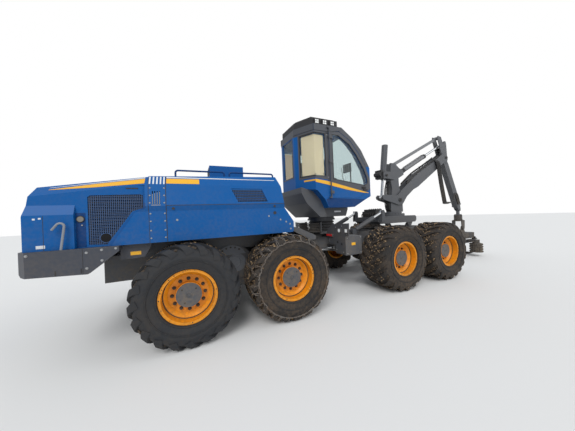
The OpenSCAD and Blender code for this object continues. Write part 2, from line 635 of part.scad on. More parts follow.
// Crane pillar with the pins of the boom, the tie rod and the jib cylinder
foot_x = crane_x + 250;
tip = [foot_x + boom_l * cos(boom_rise), foot_z + boom_l * sin(boom_rise)];
tie_foot = [foot_x - 200, foot_z + 990];
tie_top = [tip[0] - 261, tip[1] + 651];
jib_foot = [foot_x + 180, foot_z + 820];
jib_top = [tip[0] + 80, tip[1] + 521];
lift_pin = [foot_x - 510, foot_z + 700];
lift_eye = [foot_x - 600, foot_z + 80];
post_y = 88;
cheek_y0 = 95;
cheek_y1 = 125;
module crane_pillar() {
    z0 = base_z1 + ring_h + fit;
    color(dark) placed() difference() {
        union() {
            translate([crane_x, 0, z0]) cylinder(d = 560, h = 55);
            side_plate([[foot_x - 340, z0 + 54], [foot_x + 150, z0 + 54], [foot_x + 140, foot_z + 100],
                        [foot_x + 30, foot_z + 370],
                        [foot_x + 20, foot_z + 640], [jib_foot[0] + 60, jib_foot[1] - 70],
                                [jib_foot[0] + 65, jib_foot[1] + 50],
                        [foot_x + 60, foot_z + 940], [tie_foot[0] + 90, tie_foot[1] + 80],
                                [tie_foot[0] - 70, tie_foot[1] + 80],
                        [tie_foot[0] - 100, foot_z + 800], [tie_foot[0] - 100, foot_z + 560],
                                [foot_x - 260, foot_z + 300],
                        [foot_x - 340, foot_z - 80]], -post_y, post_y);
            both_sides() side_plate([[lift_pin[0] - 100, lift_pin[1] - 80],
                                     [foot_x - 200, lift_pin[1] - 110], [foot_x - 200, lift_pin[1] + 110],
                                     [lift_pin[0] - 20, lift_pin[1] + 110],
                                     [lift_pin[0] - 100, lift_pin[1] + 60]], post_y - 1, 120);
            cross_bar(foot_x, foot_z, 120, -cheek_y1 - 20, cheek_y1 + 20);
        }
        block([tie_foot[0] - 80, -34, tie_foot[1] - 82], [foot_x + 300, 34, tie_foot[1] + 120]);
        block([jib_foot[0] - 95, -44, jib_foot[1] - 150], [jib_foot[0] + 100, 44, jib_foot[1] + 130]);
        cross_bar(lift_pin[0], lift_pin[1], 70 + 2 * fit, -140, 140);
    }
    color(dark) placed() cross_bar(tie_foot[0], tie_foot[1], 50, -40, 40);
    color(dark) placed() cross_bar(jib_foot[0], jib_foot[1], 60, -50, 50);
}
lift_len = norm(lift_eye - lift_pin);
lift_turn = atan2(lift_eye[1] - lift_pin[1], lift_eye[0] - lift_pin[0]);
barrel_up = 900;
module lift_barrel() {
    color(dark) placed() at_pin(lift_pin[0], 0, lift_pin[1], lift_turn) difference() {
        union() {
            translate([-barrel_up, 0, 0]) rotate([0, 90, 0]) cylinder(d = 166, h = barrel_up + 100);
            cross_bar(0, 0, 70, -150, 150);
        }
        translate([-barrel_up + 60, 0, 0]) rotate([0, 90, 0]) cylinder(d = 76 + 2 * fit,
                h = barrel_up + 100);
    }
}
module lift_rod() {
    color(chrome) placed() at_pin(lift_pin[0], 0, lift_pin[1], lift_turn) ram_rod(-240, lift_len, 76, 80,
            60);
}

// Main boom: two cheeks round the pillar, a box girder beyond them and a fork at the tip
boom_edge = [[lift_eye[0] - 80, lift_eye[1] - 40], [lift_eye[0], lift_eye[1] - 80],
             [foot_x - 60, foot_z - 140], [foot_x + 110, foot_z - 120], [foot_x + 300, foot_z + 100],
             [foot_x + 600, foot_z + 310], [foot_x + 820, foot_z + 400], [tip[0] - 30, tip[1] - 125],
             [tip[0] + 90, tip[1] - 80], [tip[0] + 110, tip[1] + 20], [tip[0] + 40, tip[1] + 115],
             [tip[0] - 140, tip[1] + 130], [foot_x + 1640, foot_z + 1215], [foot_x + 820, foot_z + 790],
             [foot_x + 220, foot_z + 370], [foot_x - 100, foot_z + 130],
             [lift_eye[0] - 40, lift_eye[1] + 70], [lift_eye[0] - 90, lift_eye[1] + 20]];
boom_wall = 24;
fork_r = 480;
module main_boom() {
    color(dark) placed() difference() {
        side_plate(boom_edge, -cheek_y1, cheek_y1);
        cross_bar(foot_x, foot_z, 2 * 840, -cheek_y0, cheek_y0);
        cross_bar(tip[0], tip[1], 2 * fork_r, -101, 101);
        side_plate(inset(boom_edge, boom_wall), -cheek_y0, cheek_y0);
        cross_bar(foot_x, foot_z, 120 + 2 * fit, -cheek_y1 - 1, cheek_y1 + 1);
    }
    color(dark) placed() cross_bar(tip[0], tip[1], 90, -cheek_y1 - 14, cheek_y1 + 14);
}
tie_len = norm(tie_top - tie_foot);
tie_rise = atan2(tie_top[1] - tie_foot[1], tie_top[0] - tie_foot[0]);
module tie_rod() {
    color(grey) placed() at_pin(tie_foot[0], 0, tie_foot[1], tie_rise) difference() {
        union() {
            cross_bar(0, 0, 110, -30, 30);
            translate([20, -30, -40]) cube([tie_len - 40, 60, 80]);
            cross_bar(tie_len, 0, 110, -70, 70);
        }
        cross_bar(0, 0, 50 + 2 * fit, -40, 40);
    }
}
link_in = 76;
link_out = 96;
module elbow_link() {
    color(dark) placed() both_sides() difference() {
        union() {
            side_plate([[tip[0] - 110, tip[1] - 30], [tip[0] + 110, tip[1] - 30],
                        [tip[0] + 100, tip[1] + 120], [tie_top[0] + 90, tie_top[1] + 40],
                        [tie_top[0] - 70, tie_top[1] + 60], [tie_top[0] - 90, tie_top[1] - 30]], link_in,
                       link_out);
            cross_bar(tip[0], tip[1], 220, link_in, link_out);
        }
        cross_bar(tip[0], tip[1], 90 + 2 * fit, link_in - 1, link_out + 1);
    }
}
jib_len = norm(jib_top - jib_foot);
jib_rise = atan2(jib_top[1] - jib_foot[1], jib_top[0] - jib_foot[0]);
module jib_barrel() {
    color(grey) placed() at_pin(jib_foot[0], 0, jib_foot[1], jib_rise) ram_barrel(130, 1300, 70, 80, 60,
            125);
}
module jib_rod() {
    color(chrome) placed() at_pin(jib_foot[0], 0, jib_foot[1], jib_rise) ram_rod(1010, jib_len, 70, 80, 60);
}

// Outer boom and telescope, drawn along X from the elbow pin
box_y = 80;
box_z = 110;
box_wall = 14;
tube_end = 1780;
lever = [[cos(outer_fall), -sin(outer_fall)] * (jib_top - tip),
         [sin(outer_fall), cos(outer_fall)] * (jib_top - tip)];
module outer_place() { placed() at_pin(tip[0], 0, tip[1], -outer_fall) children(); }
module outer_boom() {
    color(dark) outer_place() difference() {
        union() {
            side_plate([[90, -70], [230, -box_z], [230, box_z], [90, 90]], -70, 70);
            cross_bar(0, 0, 220, -70, 70);
            block([200, -box_y, -box_z], [tube_end, box_y, box_z]);
            both_sides() side_plate([[0, -100], [200, -90], [200, 100], [60, 170], lever + [60, 50],
                                     lever + [-30, 60], lever + [-70, 0], lever + [-50, -60]], 45, 70);
        }
        cross_bar(0, 0, 90 + 2 * fit, -80, 80);
        block([260, -box_y + box_wall, -box_z + box_wall],
              [tube_end + 10, box_y - box_wall, box_z - box_wall]);
    }
}
inner_y = box_y - box_wall - fit;
inner_z = box_z - box_wall - fit;
module telescope() {
    color(dark) outer_place() difference() {
        union() {
            block([560, -inner_y, -inner_z], [outer_l - 130, inner_y, inner_z]);
            side_plate([[outer_l - 131, -inner_z], [outer_l, -62], [outer_l + 60, -20],
                        [outer_l + 60, 30], [outer_l, 62], [outer_l - 131, inner_z]], -inner_y, inner_y);
        }
        block([outer_l - 70, -42, -inner_z - 10], [outer_l + 80, 42, inner_z + 10]);
        block([500, -inner_y + 12, -inner_z + 12], [outer_l - 170, inner_y - 12, inner_z - 12]);
    }
    color(dark) outer_place() cross_bar(outer_l, 0, 50, -inner_y - 6, inner_y + 6);
}

// Tip link, rotator and head hang below the tip pin
nose = [tip[0] + outer_l * cos(outer_fall), tip[1] - outer_l * sin(outer_fall)];
head_z = nose[1] - head_drop;
module hang_place() { placed() translate([nose[0], 0, nose[1]]) children(); }
module head_place() { placed() translate([nose[0], 0, head_z]) children(); }
rotor_top = -200;
module tip_link() {
    color(dark) hang_place() difference() {
        union() {
            cross_bar(0, 0, 96, -38, 38);
            block([-38, -38, -171], [38, 38, -20]);
            translate([0, 0, rotor_top + fit]) cylinder(d = 210, h = 30);
        }
        cross_bar(0, 0, 50 + 2 * fit, -60, 60);
    }
}
lug_y0 = 100;
lug_y1 = 126;
module rotator_yoke() {
    color(black) hang_place() difference() {
        union() {
            translate([0, 0, rotor_top - 180]) cylinder(d = 240, h = 180);
            translate([0, 0, rotor_top - 215]) cylinder(d = 330, h = 36);
            both_sides() side_plate([[-90, rotor_top - 190], [90, rotor_top - 190], [70, -head_drop],
                                     [40, -head_drop - 70], [-40, -head_drop - 70], [-70, -head_drop]],
                                    lug_y1 + 3, lug_y1 + 33);
        }
        cross_bar(0, -head_drop, 80 + 2 * fit, -200, 200);
    }
}
head_half = head_l / 2;
spine_top = -200;
spine_y = 170;
shaft_y = 190;
shaft_z = -480;
top_knife_t = 60;
trunk_z = -640;
shaft_r = 32;
saw_x0 = -head_half - 330;
saw_pin = [-head_half - 200, 300, -330];
module head_frame() {
    color(black) head_place() {
        block([-head_half, -spine_y, spine_top - 200], [head_half, spine_y, spine_top]);
        both_sides() {
            side_plate([[-150, spine_top - 1], [-60, 50], [60, 50], [150, spine_top - 1]], lug_y0, lug_y1);
            cross_bar(0, 0, 80, lug_y0 + 1, lug_y1 + 40);
            translate([-head_half, shaft_y, shaft_z]) rotate([0, 90, 0]) cylinder(r = shaft_r, h = head_l);
            for (x = [-head_half, -40, head_half - 40])
                block([x, spine_y - 60, shaft_z - 30], [x + 40, shaft_y + 20, spine_top - 150]);
        }
        for (x = [saw_x0, -head_half - 60]) block([x, -470, -560], [x + 30, 380, -180]);
        block([saw_x0, -470, -181], [-head_half - 30, 380, -150]);
        block([-head_half - 61, -spine_y, spine_top - 200], [-head_half + 1, spine_y, spine_top - 1]);
        translate([saw_x0 + 29, saw_pin[1], saw_pin[2]]) rotate([0, 90, 0]) cylinder(r = 40, h = 272);
        translate([head_half - 1, 0, 0]) rotate([90, 0, 90]) linear_extrude(top_knife_t) difference() {
            translate([0, trunk_z]) circle(r = 310);
            translate([0, trunk_z]) circle(r = 280);
            polygon([[0, trunk_z + 60], [-400, trunk_z + 300], [-400, trunk_z - 400],
                     [400, trunk_z - 400], [400, trunk_z + 300]]);
        }
    }
}
module saw_bar() {
    color(grey) head_place() difference() {
        union() {
            block([saw_pin[0] - 8, -440, saw_pin[2] - 60], [saw_pin[0] + 8, saw_pin[1], saw_pin[2] + 60]);
            translate([saw_pin[0] - 8, saw_pin[1], saw_pin[2]]) rotate([0, 90, 0]) cylinder(r = 70, h = 16);
        }
        translate([saw_pin[0] - 30, saw_pin[1], saw_pin[2]]) rotate([0, 90, 0]) cylinder(r = 40 + fit,
                h = 60);
    }
}
knife_r = 300;
knife_t = 40;
// A curved knife: a hub on the shaft and an arc that closes under the trunk
module knife(x) {
    translate([x, 0, 0]) rotate([90, 0, 90]) linear_extrude(knife_t) difference() {
        union() {
            translate([shaft_y, shaft_z]) circle(r = shaft_r + 34);
            difference() {
                translate([0, trunk_z]) circle(r = knife_r + 34);
                translate([0, trunk_z]) circle(r = knife_r - 20);
                polygon([[-400, -100], [400, -100], [400, -400], [230, -425], [140, -480], [120, -730],
                         [-160, -1000], [-400, -1000]]);
            }
        }
        translate([shaft_y, shaft_z]) circle(r = shaft_r + fit);
    }
}
module knives(side, shift) {
    color(black) head_place() mirror([0, side > 0 ? 0 : 1, 0]) {
        knife(head_half - 130 - shift);
        knife(-head_half + 60 + shift);
        translate([-head_half + 99 + shift, shaft_y, shaft_z]) rotate([0, 90, 0]) difference() {
            cylinder(r = shaft_r + 14, h = 60);
            translate([0, 0, -1]) cylinder(r = shaft_r + fit, h = 62);
        }
    }
}
roller_h = 300;
// The origin lies below the middle of the machine's length
front_end = nose[0] + head_half + top_knife_t - 1;
mid_x = (front_end - rear_end) / 2;
module feed_arm(side) {
    color(black) head_place() mirror([0, side > 0 ? 0 : 1, 0]) difference() {
        union() {
            translate([60, shaft_y, shaft_z]) rotate([0, 90, 0]) cylinder(r = shaft_r + 30, h = 300);
            side_plate([[60, shaft_z - 20], [360, shaft_z - 20], [320, shaft_z + 50],
                        [100, shaft_z + 50]], shaft_y + 40, shaft_y + 210);
            for (k = [0:3]) translate([210, shaft_y + 210, shaft_z - 60 - roller_h + k * 80])
                linear_extrude(52)
                polygon([for (i = [0:71]) (roller_d / 2 - (i % 4 < 2 ? 0 : 20)) * [cos(i * 5), sin(i * 5)]]);
            translate([210, shaft_y + 210, shaft_z - 60 - roller_h]) cylinder(d = roller_d - 50,
                    h = roller_h);
            translate([210, shaft_y + 210, shaft_z - 61]) cylinder(d = 200, h = 120);
        }
        translate([0, shaft_y, shaft_z]) rotate([0, 90, 0]) cylinder(r = shaft_r + fit, h = 500);
    }
}

rear_chassis();
rear_bogies();
rear_platform();
engine_block();
rear_hood();
hood_grilles();
tank_body();
hand_rails();
wheel_at(0, -1) rim();  // rim_rr1
wheel_at(0, -1) tyre();  // tyre_rr1
wheel_at(1, -1) rim();  // rim_rr2
wheel_at(1, -1) tyre();  // tyre_rr2
wheel_at(0, 1) rim();  // rim_rl1
wheel_at(0, 1) tyre();  // tyre_rl1
wheel_at(1, 1) rim();  // rim_rl2
wheel_at(1, 1) tyre();  // tyre_rl2
wheel_at(2, -1) rim();  // rim_fr1
wheel_at(2, -1) tyre();  // tyre_fr1
wheel_at(3, -1) rim();  // rim_fr2
wheel_at(3, -1) tyre();  // tyre_fr2
wheel_at(2, 1) rim();  // rim_fl1
wheel_at(2, 1) tyre();  // tyre_fl1
wheel_at(3, 1) rim();  // rim_fl2
wheel_at(3, 1) tyre();  // tyre_fl2
front_chassis();
front_bogies();
side_boxes();
cab_base();
cab_shell();
cab_roof();
cab_glass();
cab_seat();
cab_door();
door_glass();
steer_barrel(-1);  // steer_barrel_r
steer_rod(-1);  // steer_rod_r
steer_barrel(1);  // steer_barrel_l
steer_rod(1);  // steer_rod_l
crane_base();
tilt_barrels();
tilt_rods();
crane_pillar();
lift_barrel();
lift_rod();
main_boom();
tie_rod();
elbow_link();
jib_barrel();
jib_rod();
outer_boom();
telescope();
tip_link();
rotator_yoke();
head_frame();
saw_bar();
knives(1, 0);  // knife_left
knives(-1, 60);  // knife_right
feed_arm(1);  // feed_arm_left
feed_arm(-1);  // feed_arm_right
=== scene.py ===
"""Looks of an eight-wheeled forestry harvester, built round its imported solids.

The solids of the frame keep their places. This script gives each of them a finish, adds the
small pieces that they leave out (bolts, lamps, hoses, seals, meshes, stripes) and sets up the
floor, the light and the camera. Lengths are metres; x runs forward, y to the left, z up.
"""
import json
import logging
import math
import random
from dataclasses import dataclass, field
from enum import Enum
from typing import Callable, Dict, List, Optional, Sequence, Tuple

import bmesh
import bpy
from mathutils import Matrix, Vector


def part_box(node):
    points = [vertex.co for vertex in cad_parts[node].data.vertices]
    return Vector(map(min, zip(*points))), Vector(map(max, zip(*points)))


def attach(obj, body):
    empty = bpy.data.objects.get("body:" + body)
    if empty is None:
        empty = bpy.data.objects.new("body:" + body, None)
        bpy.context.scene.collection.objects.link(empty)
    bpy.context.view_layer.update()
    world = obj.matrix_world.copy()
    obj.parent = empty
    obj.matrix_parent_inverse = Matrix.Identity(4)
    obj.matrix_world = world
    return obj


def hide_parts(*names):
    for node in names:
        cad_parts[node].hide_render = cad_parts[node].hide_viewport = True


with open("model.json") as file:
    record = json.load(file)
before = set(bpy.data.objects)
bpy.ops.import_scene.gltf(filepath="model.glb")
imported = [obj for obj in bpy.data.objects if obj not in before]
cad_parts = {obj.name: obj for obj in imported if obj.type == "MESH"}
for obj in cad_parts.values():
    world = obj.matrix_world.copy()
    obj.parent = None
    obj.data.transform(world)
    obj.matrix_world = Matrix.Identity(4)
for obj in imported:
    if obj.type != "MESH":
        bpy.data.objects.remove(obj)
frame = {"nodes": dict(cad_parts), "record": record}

logging.basicConfig(level=logging.INFO, format="%(message)s")
LOG = logging.getLogger("harvester")

Colour = Tuple[float, float, float]
Point = Tuple[float, float, float]
Pair = Tuple[float, float]
Line = Sequence[Pair]
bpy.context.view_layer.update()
COLOUR_SOCKET, VALUE_SOCKET = "NodeSocketColor", "NodeSocketFloat"
FULL_TURN = 2 * math.pi
SOFT_ANGLE = math.radians(35)


class Side(Enum):
    """The two sides of the machine, by the sign of y."""

    RIGHT = -1
    LEFT = 1


SIDES = (Side.RIGHT.value, Side.LEFT.value)


class Slot(Enum):
    """Finish names of the record."""

    FRAME = "frame_paint"
    PANEL = "blue_panel"
    CAB = "blue_paint"
    TRIM = "black_trim"
    RIM = "amber_paint"
    TYRE = "tyre"
    ENGINE = "engine"
    CHROME = "chrome"
    STEEL = "steel"
    GLASS = "glass"
    SEAT = "seat"
    HEAD = "head_steel"


# Shader node groups


class Effect:
    """A shader node group with named sockets, built once and used by many materials."""

    def __init__(self, name: str, inputs: Sequence[Tuple[str, str, object]],
                 outputs: Sequence[Tuple[str, str]]) -> None:
        """Makes the empty group.

        Args:
            name: the group's name.
            inputs: name, socket type and default of each input.
            outputs: name and socket type of each output.
        """
        self.tree = bpy.data.node_groups.new(name, "ShaderNodeTree")
        for label, kind, default in inputs:
            socket = self.tree.interface.new_socket(label, in_out="INPUT", socket_type=kind)
            socket.default_value = default
        for label, kind in outputs:
            self.tree.interface.new_socket(label, in_out="OUTPUT", socket_type=kind)
        self.start = self.add("NodeGroupInput")
        self.end = self.add("NodeGroupOutput")

    def add(self, kind: str, **settings: object) -> bpy.types.Node:
        """Adds a node of a type, sets its properties and returns it."""
        node = self.tree.nodes.new(kind)
        for key, value in settings.items():
            setattr(node, key, value)
        return node

    def link(self, source: bpy.types.NodeSocket, target: bpy.types.NodeSocket) -> None:
        """Joins two sockets."""
        self.tree.links.new(source, target)

    def noise(self, scale: float, detail: float) -> bpy.types.Node:
        """Adds noise over the object's own coordinates, by its scale per metre and its octaves."""
        place = self.add("ShaderNodeTexCoord")
        noise = self.add("ShaderNodeTexNoise")
        noise.inputs["Scale"].default_value = scale
        noise.inputs["Detail"].default_value = detail
        self.link(place.outputs["Object"], noise.inputs["Vector"])
        return noise

    def ramp(self, value: bpy.types.NodeSocket, **ends: float) -> bpy.types.Node:
        """Adds a map range over a value.

        Args:
            value: the socket that it reads.
            ends: its ends by name, such as from_min.

        Returns:
            The node.
        """
        node = self.add("ShaderNodeMapRange")
        for label, number in ends.items():
            node.inputs[label.replace("_", " ").title()].default_value = number
        self.link(value, node.inputs["Value"])
        return node

    def product(self, first: bpy.types.NodeSocket, second: bpy.types.NodeSocket) -> bpy.types.NodeSocket:
        """Multiplies two values and returns the result's socket."""
        node = self.add("ShaderNodeMath", operation="MULTIPLY")
        self.link(first, node.inputs[0])
        self.link(second, node.inputs[1])
        return node.outputs["Value"]

    def close(self, mask: bpy.types.NodeSocket, over: str) -> bpy.types.ShaderNodeTree:
        """Lays one input colour over the group's own and ends the group.

        Args:
            mask: where the colour lies, before the input Amount scales it.
            over: name of the input that holds the colour.

        Returns:
            The node tree, with outputs Colour and Mask.
        """
        scaled = self.product(mask, self.start.outputs["Amount"])
        mix = self.add("ShaderNodeMix", data_type="RGBA")
        self.link(scaled, mix.inputs["Factor"])
        self.link(self.start.outputs["Colour"], mix.inputs["A"])
        self.link(self.start.outputs[over], mix.inputs["B"])
        self.link(mix.outputs["Result"], self.end.inputs["Colour"])
        self.link(scaled, self.end.inputs["Mask"])
        return self.tree


COAT_OUTPUTS = (("Colour", COLOUR_SOCKET), ("Mask", VALUE_SOCKET))


def edge_wear() -> bpy.types.ShaderNodeTree:
    """Builds the group that bares a lighter colour along edges.

    Returns:
        The node tree, with inputs Colour, Worn and Amount, and outputs Colour and Mask.
    """
    effect = Effect("edge wear", (("Colour", COLOUR_SOCKET, (0.5, 0.5, 0.5, 1)),
                                  ("Worn", COLOUR_SOCKET, (0.6, 0.6, 0.6, 1)),
                                  ("Amount", VALUE_SOCKET, 0.5)), COAT_OUTPUTS)
    rounded = effect.add("ShaderNodeBevel", samples=4)
    rounded.inputs["Radius"].default_value = 0.012
    surface = effect.add("ShaderNodeNewGeometry")
    facing = effect.add("ShaderNodeVectorMath", operation="DOT_PRODUCT")
    effect.link(rounded.outputs["Normal"], facing.inputs[0])
    effect.link(surface.outputs["Normal"], facing.inputs[1])
    edge = effect.ramp(facing.outputs["Value"], from_min=0.97, from_max=0.75)
    patches = effect.ramp(effect.noise(9.0, 5.0).outputs["Fac"], from_min=0.48, from_max=0.62)
    return effect.close(effect.product(edge.outputs["Result"], patches.outputs["Result"]), "Worn")


def dust_coat() -> bpy.types.ShaderNodeTree:
    """Builds the group that lays dust and mud over the lower faces.

    Returns:
        The node tree, with inputs Colour, Dust, Amount and Top, and outputs Colour and Mask.
    """
    effect = Effect("dust coat", (("Colour", COLOUR_SOCKET, (0.5, 0.5, 0.5, 1)),
                                  ("Dust", COLOUR_SOCKET, (0.25, 0.2, 0.15, 1)),
                                  ("Amount", VALUE_SOCKET, 0.4), ("Top", VALUE_SOCKET, 1.6)),
                    COAT_OUTPUTS)
    place = effect.add("ShaderNodeTexCoord")
    split = effect.add("ShaderNodeSeparateXYZ")
    effect.link(place.outputs["Object"], split.inputs["Vector"])
    low = effect.ramp(split.outputs["Z"], from_max=0.2, to_min=0.12)
    effect.link(effect.start.outputs["Top"], low.inputs["From Min"])
    blotch = effect.product(effect.noise(2.6, 8.0).outputs["Fac"], effect.noise(26.0, 6.0).outputs["Fac"])
    spread = effect.ramp(blotch, from_min=0.16, from_max=0.36)
    return effect.close(effect.product(low.outputs["Result"], spread.outputs["Result"]), "Dust")


def grain() -> bpy.types.ShaderNodeTree:
    """Builds the group that gives a fine surface height.

    Returns:
        The node tree, with input Scale and output Height.
    """
    effect = Effect("grain", (("Scale", VALUE_SOCKET, 120.0),), (("Height", VALUE_SOCKET),))
    noise = effect.noise(120.0, 4.0)
    effect.link(effect.start.outputs["Scale"], noise.inputs["Scale"])
    effect.link(noise.outputs["Fac"], effect.end.inputs["Height"])
    return effect.tree


@dataclass(frozen=True)
class Finish:
    """One paint, rubber or metal, with its wear, dust and grain."""

    name: str
    slot: Slot
    colour: Colour
    rough: float
    metal: float = 0.0
    coat: float = 0.0
    shine: float = 0.5
    worn: Colour = (0.30, 0.29, 0.28)
    wear: float = 0.0
    dust: Colour = (0.20, 0.155, 0.105)
    dirt: float = 0.0
    dirt_top: float = 1.6
    grain_scale: float = 140.0
    bump: float = 0.0
    glow: float = 0.0
    clear: float = 0.0

    def material(self, effects: Dict[str, bpy.types.ShaderNodeTree]) -> bpy.types.Material:
        """Builds the material.

        Args:
            effects: the shared node groups by name.

        Returns:
            The new material.
        """
        made = bpy.data.materials.new(self.name)
        made.use_nodes = True
        tree = made.node_tree

        def place(kind: str, effect: Optional[str] = None, **values: object) -> bpy.types.Node:
            """Adds a node, or a shared group, with its own input values."""
            node = tree.nodes.new(kind)
            if effect:
                node.node_tree = effects[effect]
            for label, value in values.items():
                node.inputs[label.replace("_", " ")].default_value = value
            return node

        shader = tree.nodes["Principled BSDF"]
        values = {"Metallic": self.metal, "Coat Weight": self.coat, "Coat Roughness": 0.12,
                  "Specular IOR Level": self.shine}
        if self.clear:
            values.update({"Transmission Weight": self.clear, "IOR": 1.12})
        if self.glow:
            values.update({"Emission Color": (*self.colour, 1), "Emission Strength": self.glow})
        for label, value in values.items():
            shader.inputs[label].default_value = value
        dust = place("ShaderNodeGroup", "dust", Colour=(*self.colour, 1), Dust=(*self.dust, 1),
                     Amount=self.dirt, Top=self.dirt_top)
        if self.wear:
            wear = place("ShaderNodeGroup", "wear", Colour=(*self.colour, 1), Worn=(*self.worn, 1),
                         Amount=self.wear)
            tree.links.new(wear.outputs["Colour"], dust.inputs["Colour"])
        tree.links.new(dust.outputs["Colour"], shader.inputs["Base Color"])
        matt = place("ShaderNodeMapRange", To_Min=self.rough, To_Max=max(self.rough, 0.9))
        tree.links.new(dust.outputs["Mask"], matt.inputs["Value"])
        tree.links.new(matt.outputs["Result"], shader.inputs["Roughness"])
        if self.bump:
            rough = place("ShaderNodeGroup", "grain", Scale=self.grain_scale)
            bump = place("ShaderNodeBump", Strength=self.bump, Distance=0.004)
            tree.links.new(rough.outputs["Height"], bump.inputs["Height"])
            tree.links.new(bump.outputs["Normal"], shader.inputs["Normal"])
        return made


BLUE: Colour = (0.0, 0.092, 0.32)
PALE_BLUE: Colour = (0.05, 0.25, 0.55)
FRAME = Finish("charcoal frame paint", Slot.FRAME, (0.075, 0.08, 0.09), 0.48, wear=0.5, dirt=0.75,
               grain_scale=90, bump=0.08)
PANEL = Finish("blue body paint", Slot.PANEL, BLUE, 0.42, shine=0.22, worn=PALE_BLUE, wear=0.25,
               dirt=0.28, dirt_top=2.2)
CAB = Finish("blue cab paint", Slot.CAB, BLUE, 0.40, shine=0.22, worn=PALE_BLUE, wear=0.2, dirt=0.2,
             dirt_top=2.6)
TRIM = Finish("matt black plastic", Slot.TRIM, (0.022, 0.022, 0.024), 0.62, dirt=0.25, dirt_top=2.4,
              grain_scale=300, bump=0.1)
RIM = Finish("amber rim paint", Slot.RIM, (0.85, 0.31, 0.006), 0.42, worn=(0.12, 0.06, 0.03), wear=0.7,
             dust=(0.11, 0.065, 0.03), dirt=0.42, dirt_top=1.3, bump=0.06)
TYRE = Finish("tyre rubber", Slot.TYRE, (0.016, 0.018, 0.022), 0.72, dust=(0.048, 0.041, 0.035), dirt=0.6,
              dirt_top=2.2, grain_scale=60, bump=0.35)
ENGINE = Finish("rough casting", Slot.ENGINE, (0.10, 0.10, 0.105), 0.7, dirt=0.5, dirt_top=2.4, bump=0.3)
CHROME = Finish("hard chrome", Slot.CHROME, (0.66, 0.67, 0.68), 0.16, metal=1.0, dirt=0.12, dirt_top=3.0)
STEEL = Finish("worn steel", Slot.STEEL, (0.17, 0.175, 0.185), 0.42, metal=0.25, dirt=0.35, dirt_top=4.0,
               bump=0.06)
GLASS = Finish("tinted glass", Slot.GLASS, (0.72, 0.80, 0.80), 0.03, clear=0.94)
SEAT = Finish("seat cloth", Slot.SEAT, (0.035, 0.035, 0.04), 0.9, grain_scale=420, bump=0.35)
HEAD = Finish("black head paint", Slot.HEAD, (0.030, 0.030, 0.033), 0.5, worn=(0.34, 0.33, 0.32),
              wear=0.8, dirt=0.75, dirt_top=2.2, bump=0.08)
BASE = {finish.slot: finish for finish in (
    FRAME, PANEL, CAB, TRIM, RIM, TYRE, ENGINE, CHROME, STEEL, GLASS, SEAT, HEAD)}

HOLE = Finish("dark hole", Slot.TRIM, (0.003, 0.003, 0.004), 0.9)
SLATE = Finish("slate frame paint", Slot.FRAME, (0.044, 0.050, 0.066), 0.5, wear=0.5, dirt=0.45,
               dirt_top=1.5, bump=0.08)
MUDDY = Finish("muddy tyre rubber", Slot.TYRE, (0.020, 0.018, 0.017), 0.86, dust=(0.072, 0.052, 0.036),
               dirt=1.0, dirt_top=2.6, grain_scale=60, bump=0.5)
MESH = Finish("blue wire mesh", Slot.PANEL, (0.045, 0.100, 0.23), 0.5, dirt=0.2, dirt_top=2.6)
RAIL = Finish("grey rail paint", Slot.STEEL, (0.24, 0.26, 0.29), 0.45, dirt=0.25, dirt_top=2.4)
COVER = Finish("grey cover paint", Slot.FRAME, (0.15, 0.16, 0.18), 0.5, worn=(0.3, 0.3, 0.3), wear=0.5,
               dirt=0.3, dirt_top=2.0)
DULL_LENS = Finish("dull lens", Slot.GLASS, (0.20, 0.18, 0.15), 0.2, coat=0.6)
YELLOW = Finish("yellow stripe", Slot.RIM, (0.86, 0.44, 0.02), 0.35, dirt=0.12, dirt_top=3.0)
WHITE = Finish("white stripe", Slot.STEEL, (0.70, 0.72, 0.74), 0.35, dirt=0.15, dirt_top=3.0)
# A darker blue: the paint of the roof rails, and painted shade on the recessed panel round the side lens and
# on the lower cab sides.
DARK_BLUE_AND_SHADE = Finish("shaded blue paint", Slot.PANEL, (0.0, 0.040, 0.16), 0.42, shine=0.2, dirt=0.2,
                   dirt_top=2.6)
CAB_GREY = Finish("dark cab frame", Slot.FRAME, (0.062, 0.067, 0.078), 0.42, dirt=0.2, dirt_top=3.2,
                  bump=0.05)
LENS = Finish("lamp lens", Slot.GLASS, (0.86, 0.87, 0.85), 0.12, coat=0.8, glow=0.15)
RED = Finish("red lamp", Slot.GLASS, (0.55, 0.02, 0.02), 0.2, coat=0.6, glow=0.1)
HOSE = Finish("hose rubber", Slot.TRIM, (0.018, 0.018, 0.019), 0.55, dirt=0.5, dirt_top=3.2)
# The blind's glow is painted light: the cloth glows though it is no lamp.
BLIND_WITH_PAINTED_GLOW = Finish("beige blind", Slot.SEAT, (0.90, 0.66, 0.42), 0.85, grain_scale=500, bump=0.2, glow=0.26)
GRIMY = Finish("grimy bolts", Slot.STEEL, (0.040, 0.036, 0.032), 0.6, metal=0.4, dirt=0.5, dirt_top=2.0)
LEAF = Finish("leaf litter", Slot.TYRE, (0.46, 0.31, 0.17), 0.9, dust=(0.09, 0.06, 0.04), dirt=0.8,
              dirt_top=4.0)
ZINC = Finish("zinc bolts", Slot.STEEL, (0.42, 0.43, 0.44), 0.4, metal=0.8, dirt=0.4, dirt_top=3.0)
CHAIN = Finish("chain steel", Slot.STEEL, (0.17, 0.155, 0.14), 0.5, metal=0.4, worn=(0.3, 0.29, 0.28),
               wear=0.7, dust=(0.15, 0.09, 0.05), dirt=0.8, dirt_top=2.6, bump=0.15)
BROWN_DIRT = Finish("settled dirt", Slot.TYRE, (0.075, 0.055, 0.038), 0.95, grain_scale=70, bump=0.6)


